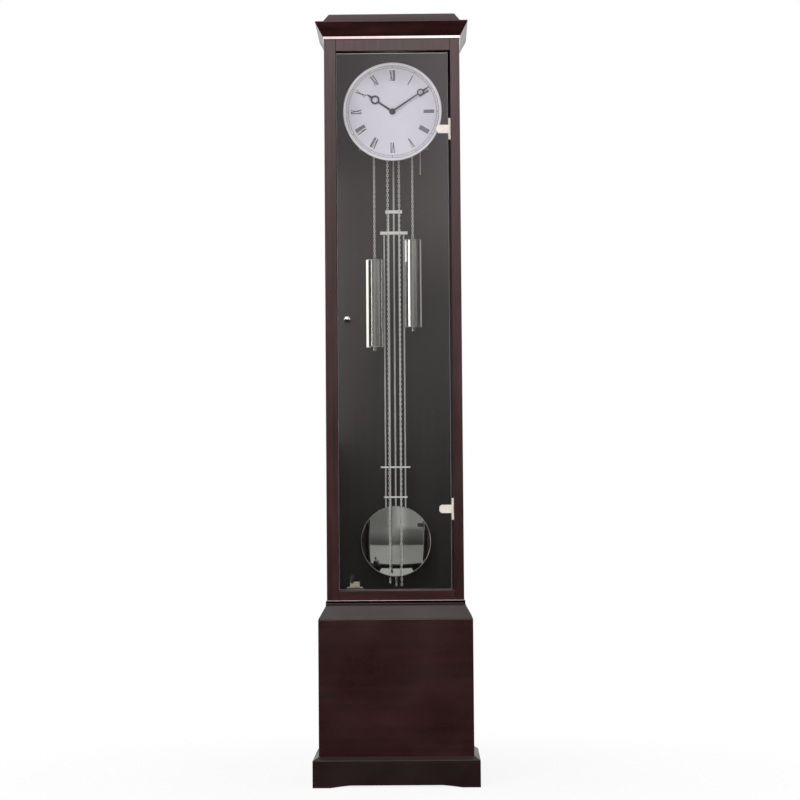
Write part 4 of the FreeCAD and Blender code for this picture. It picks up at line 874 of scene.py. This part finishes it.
class CLOCK_OT_weights(bpy.types.Operator):
    """Turn the two cylindrical weights with their caps"""

    bl_idname = "clock.weights"
    bl_label = "Weights"

    def execute(self, context):
        metals = context.scene.clock_metal
        # brass tube, drawn, polished and chrome plated: a mirror in long upright streaks
        along = (1.0, 1.0, 0.02)
        shell = metal("brass_tube_chrome_plated", metals.chrome, metals.polish, 0.02, along)
        # steel, turned and left bright: grey with a soft shine
        steel = metal("steel_turned_bright", "#B9BABD", 0.25, 0.05)
        tube = in_mm([(22.0, 3.05), (23.0, 3.05), (23.0, 219.95), (22.0, 219.95), (22.0, 3.05)])
        cap = [
            (0.0, 0.0), (22.3, 0.0), (23.0, 0.2), (23.5, 0.7), (23.7, 1.5), (23.5, 2.3),
            (23.0, 2.8), (22.4, 3.0), (0.0, 3.0),
        ]
        for train, x in (("time", WEIGHT_X), ("strike", -WEIGHT_X)):
            name = train + "_weight"
            centre = (x * MM, depth(CHAIN_DEPTH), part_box(name + "_caps")[0].z)
            piece = turned(name + "_tube_polished", tube, centre, UPWARDS, 128)
            placed(piece, name, shell, name + "_tube")
            caps = []
            for base, flip in ((0.0, 1), (223.0, -1)):
                outline = in_mm((r, base + flip * h) for r, h in cap)
                caps.append(turned("cap", outline, centre, UPWARDS, 96))
            piece = smoothed(joined(caps, name + "_caps_turned"))
            placed(piece, name, shell, name + "_caps")
            coat(steel, name + "_core")
        return {"FINISHED"}


class CLOCK_OT_chains(bpy.types.Operator):
    """Hang the four runs of oval-link chain and the end drop"""

    bl_idname = "clock.chains"
    bl_label = "Chains"

    def execute(self, context):
        links = context.scene.clock_chain
        # steel wire, welded links, zinc plated: small bright grey links
        zinc = coated("steel_wire_zinc_plated", "#BDBDBB", "#E6E6E4", 0.2, 1.6, 0.8, 500.0)
        # steel, turned: a small bright drop
        steel = metal("steel_drop_turned", "#C8C8CC", 0.2, 0.05)
        first = self.link(links)
        runs = [
            ("time_chain", WEIGHT_X, "time_weight"),
            ("strike_chain", -WEIGHT_X, "strike_weight"),
            ("time_chain_tail", TAIL_X, "time_tail"),
            ("strike_chain_tail", -TAIL_X, "strike_tail"),
        ]
        for node, x, body in runs:
            low = (x * MM, depth(CHAIN_DEPTH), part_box(node)[0].z)
            piece = self.run(first, links, node + "_links", low, SPROCKET_HEIGHT)
            placed(piece, None, zinc, node)
            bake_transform(piece)
        bpy.data.objects.remove(first)
        coat(steel, "strike_chain_drop")
        return {"FINISHED"}

    def link(self, links):
        """One oval link that stands on edge, stretched from a ring."""
        ring = (links.width - links.wire) / 2
        bpy.ops.mesh.primitive_torus_add(
            major_segments=12, minor_segments=5, major_radius=ring, minor_radius=links.wire / 2,
            rotation=(radians(90), 0, 0),
        )
        piece = settle(bpy.context.object)
        half = (links.length - links.width) / 2
        for side in (-1, 1):
            for vertex in piece.data.vertices:
                vertex.select = vertex.co.z * side > HAIR
            for group in (piece.data.edges, piece.data.polygons):
                for part in group:
                    part.select = False
            bpy.ops.object.mode_set(mode="EDIT")
            bpy.ops.transform.translate(value=(0, 0, half * side))
            bpy.ops.object.mode_set(mode="OBJECT")
        piece.name = "chain_link"
        return smoothed(piece, 60)

    def run(self, first, links, name, low, top):
        """A straight run of links, every second one turned a quarter."""
        pair = [twin(first, "link_a"), twin(first, "link_b")]
        x, y, z = low
        for link, step, turn in zip(pair, (0.0, links.pitch), (0, 90)):
            place = Matrix.Translation((x, y, z + links.length / 2 + step))
            link.matrix_world = place @ Matrix.Rotation(radians(turn), 4, "Z")
        return modified(
            joined(pair, name),
            "ARRAY",
            use_relative_offset=False,
            use_constant_offset=True,
            constant_offset_displace=(0, 0, 2 * links.pitch),
            count=int((top - z - links.length) / (2 * links.pitch)) + 1,
        )


class CLOCK_OT_movement(bpy.types.Operator):
    """Finish the movement, its seat and the gong, which stand behind the dial"""

    bl_idname = "clock.movement"
    bl_label = "Movement"

    def execute(self, context):
        # brass, rolled and brushed: warm yellow with fine lines
        brass = metal("brass_rolled_brushed", "#C9A45A", 0.26, 0.07, (1.0, 1.0, 0.05), 0.15)
        # steel, turned and polished: bluish grey
        steel = metal("steel_turned_polished", "#B4B6BA", 0.22, 0.05, (1.0, 1.0, 0.1), 0.12)
        # iron, cast and zinc plated: dull grey with a stained look
        iron = metal("iron_cast_zinc_plated", "#A8A9AC", 0.4, 0.08, (1.0, 1.0, 1.0), 0.2)
        # steel rod, lacquered silver: pale grey with a soft line of light
        silver = coated(
            "steel_gong_rod_lacquered_silver", "#B4B4B6", "#C2C2C3", 0.25, 1.5, 0.4, 80.0
        )
        coat(
            brass,
            "movement_plates", "centre_wheel", "third_wheel", "escape_wheel", "time_second_wheel",
            "time_great_wheel", "strike_great_wheel", "strike_second_wheel", "strike_pin_wheel",
            "minute_wheel", "hour_wheel", "strike_fly", "time_sprocket", "strike_sprocket",
            "suspension_cock",
        )
        coat(
            steel,
            "plate_pillars", "cannon_pinion", "pallet_anchor", "suspension_spring", "strike_hammer",
        )
        coat(iron, "seat_board_brackets")
        coat(silver, "rod_gong")
        return {"FINISHED"}


def seen_directly(tree):
    """1 for a ray that comes from the camera, off a mirror or through glass, else 0."""
    path = add(tree, "LightPath").outputs
    seen = add(tree, "Math", LARGER, (), {0: path["Is Camera Ray"], 1: path["Is Glossy Ray"]})
    return add(tree, "Math", LARGER, (), {0: seen, 1: path["Is Transmission Ray"]})


class CLOCK_OT_stage(bpy.types.Operator):
    """Set up the floor, the lamps and the camera"""

    bl_idname = "clock.stage"
    bl_label = "Stage"

    def execute(self, context):
        stage = context.scene.clock_stage
        self.floor()
        flat, ahead = (0, 0, 0), (radians(-90), 0, 0)
        left, right = (0, radians(90), 0), (0, radians(-90), 0)
        wall = 149.5 * MM
        rosy = {"aside": 0.38, "tint": "#FFEFF5"}
        # what the glass and the lacquer mirror
        rise = (0.75, 3.4)
        self.card("front", (0, -7.0, 2.2), ahead, (26.0, 4.4), "glossy", (0.0, 2.1), rise, **rosy)
        self.card("floor", (0, -3.56, 0.002), flat, (26.0, 6.92), "both", (0.04, 0.04), **rosy)
        cards = (
            # what the chrome behind the glass mirrors
            ("room", (0, -6.9, 4.0), ahead, (26.0, 8.0), "through", (0.1, 0.37), (0.3, 2.4), 0.6),
            ("carpet", (0, -3.9, 0.004), flat, (8.0, 5.9), "through", (0.38, 0.38), (0, 1), 0.9),
            ("window", (-2.0, -1.6, 1.4), left, (2.6, 1.6), "through", (3.0, 3.0)),
            ("inner_left", (-wall, depth(145), 1.2), left, (0.7, 0.11), "glossy", (1.6, 1.6)),
            ("inner_right", (wall, depth(145), 1.2), right, (0.7, 0.06), "glossy", (0.5, 0.5)),
            ("inner_floor", (0, depth(75), 0.47), flat, (0.14, 0.07), "glossy", (0.5, 0.5)),
        )
        for card in cards:
            self.card(*card)
        self.world(stage.sky)
        self.lamp("key", stage.key, (3.4, 2.2), (-1.2, -3.6, 4.0), (0.0, 0.0, 0.95))
        for side, place in (("left", (-1.3, -2.3, 1.3)), ("right", (1.5, -2.2, 1.3))):
            self.lamp("panel_" + side, stage.panel, (0.5, 2.6), place, (0.0, 0.0, 1.2), False)
        data = bpy.data.cameras.new("camera")
        data.lens = stage.lens
        data.sensor_width = 36.0
        data.clip_start, data.clip_end = 0.05, 100.0
        camera = bpy.data.objects.new("camera", data)
        context.scene.collection.objects.link(camera)
        # turned a little to the left, pitched up and rolled, as the photograph's edges say
        turn = Matrix()
        for degrees, axis in ((0.71, "Z"), (92.98, "X"), (-0.43, "Z")):
            turn = turn @ Matrix.Rotation(radians(degrees), 4, axis)
        camera.matrix_world = Matrix.Translation(stage.eye) @ turn
        context.scene.camera = camera
        context.scene.view_settings.view_transform = "Standard"
        return {"FINISHED"}

    def sheet(self, name, place, turn, size):
        """A flat sheet that stands or lies on the stage."""
        bpy.ops.mesh.primitive_grid_add(
            x_subdivisions=4, y_subdivisions=4, size=1.0, location=place, rotation=turn
        )
        piece = bpy.context.object
        piece.name = name
        piece.scale = (*size, 1.0)
        return settle(piece)

    def floor(self):
        """A pale floor that keeps the clock's shadow and is white where it is seen or mirrored."""
        piece = self.sheet("floor", (0, 0, 0), (0, 0, 0), (60.0, 60.0))
        made, tree = blank("floor_paper_white")
        seen = seen_directly(tree)
        # what the paper throws back onto the clock is less than what is seen of it
        tones = {MIX_A: linear("#CBC8C5"), MIX_B: linear("#F9F9F9")}
        tone = add(tree, "Mix", IN_COLOUR, tones, {MIX_FACTOR: seen}).outputs[MIX_COLOUR]
        paper = add(tree, "BsdfDiffuse", links={"Color": tone})
        glow = add(tree, "Emission", values={"Color": WHITE, "Strength": 1.0})
        place = add(tree, "TexCoord").outputs["Object"]
        away = add(tree, "VectorMath", {"operation": "LENGTH"}, (), {0: place}).outputs["Value"]
        values = {"From Min": 0.25, "From Max": 1.4, "To Min": 0.87, "To Max": 1.0}
        share = add(tree, "MapRange", SMOOTHLY, values, {"Value": away})
        part = add(tree, "Math", TIMES, (), {0: share, 1: seen})
        shader = add(tree, "MixShader", links={0: part, 1: paper, 2: glow})
        add(tree, "OutputMaterial", links={"Surface": shader})
        piece.data.materials.append(made)

    def card(self, name, place, turn, size, seen_by, tones, rise=(0, 1), aside=1.0, tint="#FFFDF4"):
        """A grey card that polished surfaces mirror.

        Its tone goes from one value to another between two heights, and fades to a share of it
        aside from the middle.  seen_by is glossy for surfaces before the glass, through for those
        behind it, or both.
        """
        name = "card_" + name
        piece = self.sheet(name, place, turn, size)
        made, tree = blank(name + "_board_grey")
        place = add(tree, "TexCoord").outputs["Object"]
        split = add(tree, "SeparateXYZ", links={"Vector": place})
        across, height = split.outputs["X"], split.outputs["Z"]
        values = {"From Min": rise[0], "From Max": rise[1], "To Min": tones[0], "To Max": tones[1]}
        tone = add(tree, "MapRange", (), values, {"Value": height})
        off_middle = add(tree, "Math", {"operation": "ABSOLUTE"}, (), {0: across})
        values = {"From Min": 0.5, "From Max": 1.7, "To Min": 1.0, "To Max": aside}
        fade = add(tree, "MapRange", SMOOTHLY, values, {"Value": off_middle})
        # low down the left of the room is a little brighter than the right, high up the right is
        values = {"From Min": 1.9, "From Max": 2.4}
        leans = {MIX_FACTOR: add(tree, "MapRange", (), values, {"Value": height})}
        for key, left, right in ((MIX_FROM, 1.1, 0.84), (MIX_TO, 0.8, 1.4)):
            values = {"From Min": -0.35, "From Max": 0.35, "To Min": left, "To Max": right}
            leans[key] = add(tree, "MapRange", (), values, {"Value": across})
        lean = add(tree, "Mix", links=leans)
        share = add(tree, "Math", TIMES, (), {0: fade, 1: lean})
        strength = add(tree, "Math", TIMES, (), {0: tone, 1: share})
        # a path that has met a matt surface sees plain white here, as it does past the card
        met = add(tree, "LightPath").outputs["Diffuse Depth"]
        matt = add(tree, "Math", {"operation": "MINIMUM"}, {1: 1.0}, {0: met})
        links = {MIX_FACTOR: matt, MIX_FROM: strength}
        strength = add(tree, "Mix", (), {MIX_TO: 1.0}, links)
        glow = add(tree, "Emission", (), {"Color": linear(tint)}, {"Strength": strength})
        # its back is clear, so that the wall behind an inner card doesn't mirror it
        behind = add(tree, "NewGeometry").outputs["Backfacing"]
        clear = add(tree, "BsdfTransparent")
        shader = add(tree, "MixShader", links={0: behind, 1: glow, 2: clear})
        add(tree, "OutputMaterial", links={"Surface": shader})
        piece.data.materials.append(made)
        piece.visible_camera = piece.visible_diffuse = piece.visible_shadow = False
        piece.visible_glossy = seen_by != "through"
        piece.visible_transmission = seen_by != "glossy"

    def world(self, fill):
        """Even light from all round, and white where it is seen, mirrored or looked through to."""
        world = bpy.data.worlds.new("studio")
        world.use_nodes = True
        tree = world.node_tree
        tree.nodes.clear()
        values = {"To Min": fill, "To Max": 1.0}
        strength = add(tree, "MapRange", (), values, {"Value": seen_directly(tree)})
        back = add(tree, "Background", (), {"Color": WHITE}, {"Strength": strength})
        add(tree, "OutputWorld", links={"Surface": back})
        bpy.context.scene.world = world

    def lamp(self, name, power, size, place, aim, mirrored=True):
        """A rectangular soft lamp that faces a point, and that glass doesn't let through.

        Seen through the glass a lamp would be a hard white strip in the chrome.
        """
        data = bpy.data.lights.new(name, "AREA")
        data.shape = "RECTANGLE"
        data.size, data.size_y = size
        data.energy = power
        made = bpy.data.objects.new(name, data)
        bpy.context.scene.collection.objects.link(made)
        made.location = place
        made.rotation_euler = (Vector(aim) - Vector(place)).to_track_quat("-Z", "Y").to_euler()
        made.visible_glossy = mirrored
        made.visible_transmission = False


class CLOCK_PT_pieces(bpy.types.Panel):
    """Lists the clock's settings and the operators that build its pieces."""

    bl_label = "Longcase clock"
    bl_idname = "CLOCK_PT_pieces"
    bl_space_type = "VIEW_3D"
    bl_region_type = "UI"
    bl_category = "Clock"

    def draw(self, context):
        column = self.layout.column(align=True)
        for group in SETTINGS:
            held = getattr(context.scene, group)
            for key in held.__annotations__:
                column.prop(held, key)
            column.separator()
        for operator in STEPS:
            column.operator(operator.bl_idname)


SETTINGS = {
    "clock_case": ClockCaseSettings,
    "clock_dial": ClockDialSettings,
    "clock_metal": ClockMetalSettings,
    "clock_chain": ClockChainSettings,
    "clock_stage": ClockStageSettings,
}
STEPS = (
    CLOCK_OT_stage,
    CLOCK_OT_case_boards,
    CLOCK_OT_trim_bands,
    CLOCK_OT_glass_door,
    CLOCK_OT_door_fittings,
    CLOCK_OT_dial,
    CLOCK_OT_bezel,
    CLOCK_OT_hands,
    CLOCK_OT_pendulum,
    CLOCK_OT_weights,
    CLOCK_OT_chains,
    CLOCK_OT_movement,
)


def register():
    """Registers the settings, the operators and the panel."""
    for kind in (*SETTINGS.values(), *STEPS, CLOCK_PT_pieces):
        bpy.utils.register_class(kind)
    for name, kind in SETTINGS.items():
        setattr(bpy.types.Scene, name, PointerProperty(type=kind))


def unregister():
    """Removes them again."""
    for name in SETTINGS:
        delattr(bpy.types.Scene, name)
    for kind in reversed((*SETTINGS.values(), *STEPS, CLOCK_PT_pieces)):
        bpy.utils.unregister_class(kind)


def main():
    """Builds the whole clock."""
    register()
    # the solids come in selected, and an operator acts on all that is selected
    bpy.ops.object.select_all(action="DESELECT")
    bpy.ops.clock.stage()
    bpy.ops.clock.case_boards()
    bpy.ops.clock.trim_bands()
    bpy.ops.clock.glass_door()
    bpy.ops.clock.door_fittings()
    bpy.ops.clock.dial()
    bpy.ops.clock.bezel()
    bpy.ops.clock.hands()
    bpy.ops.clock.pendulum()
    bpy.ops.clock.weights()
    bpy.ops.clock.chains()
    bpy.ops.clock.movement()


if __name__ == "__main__":
    main()
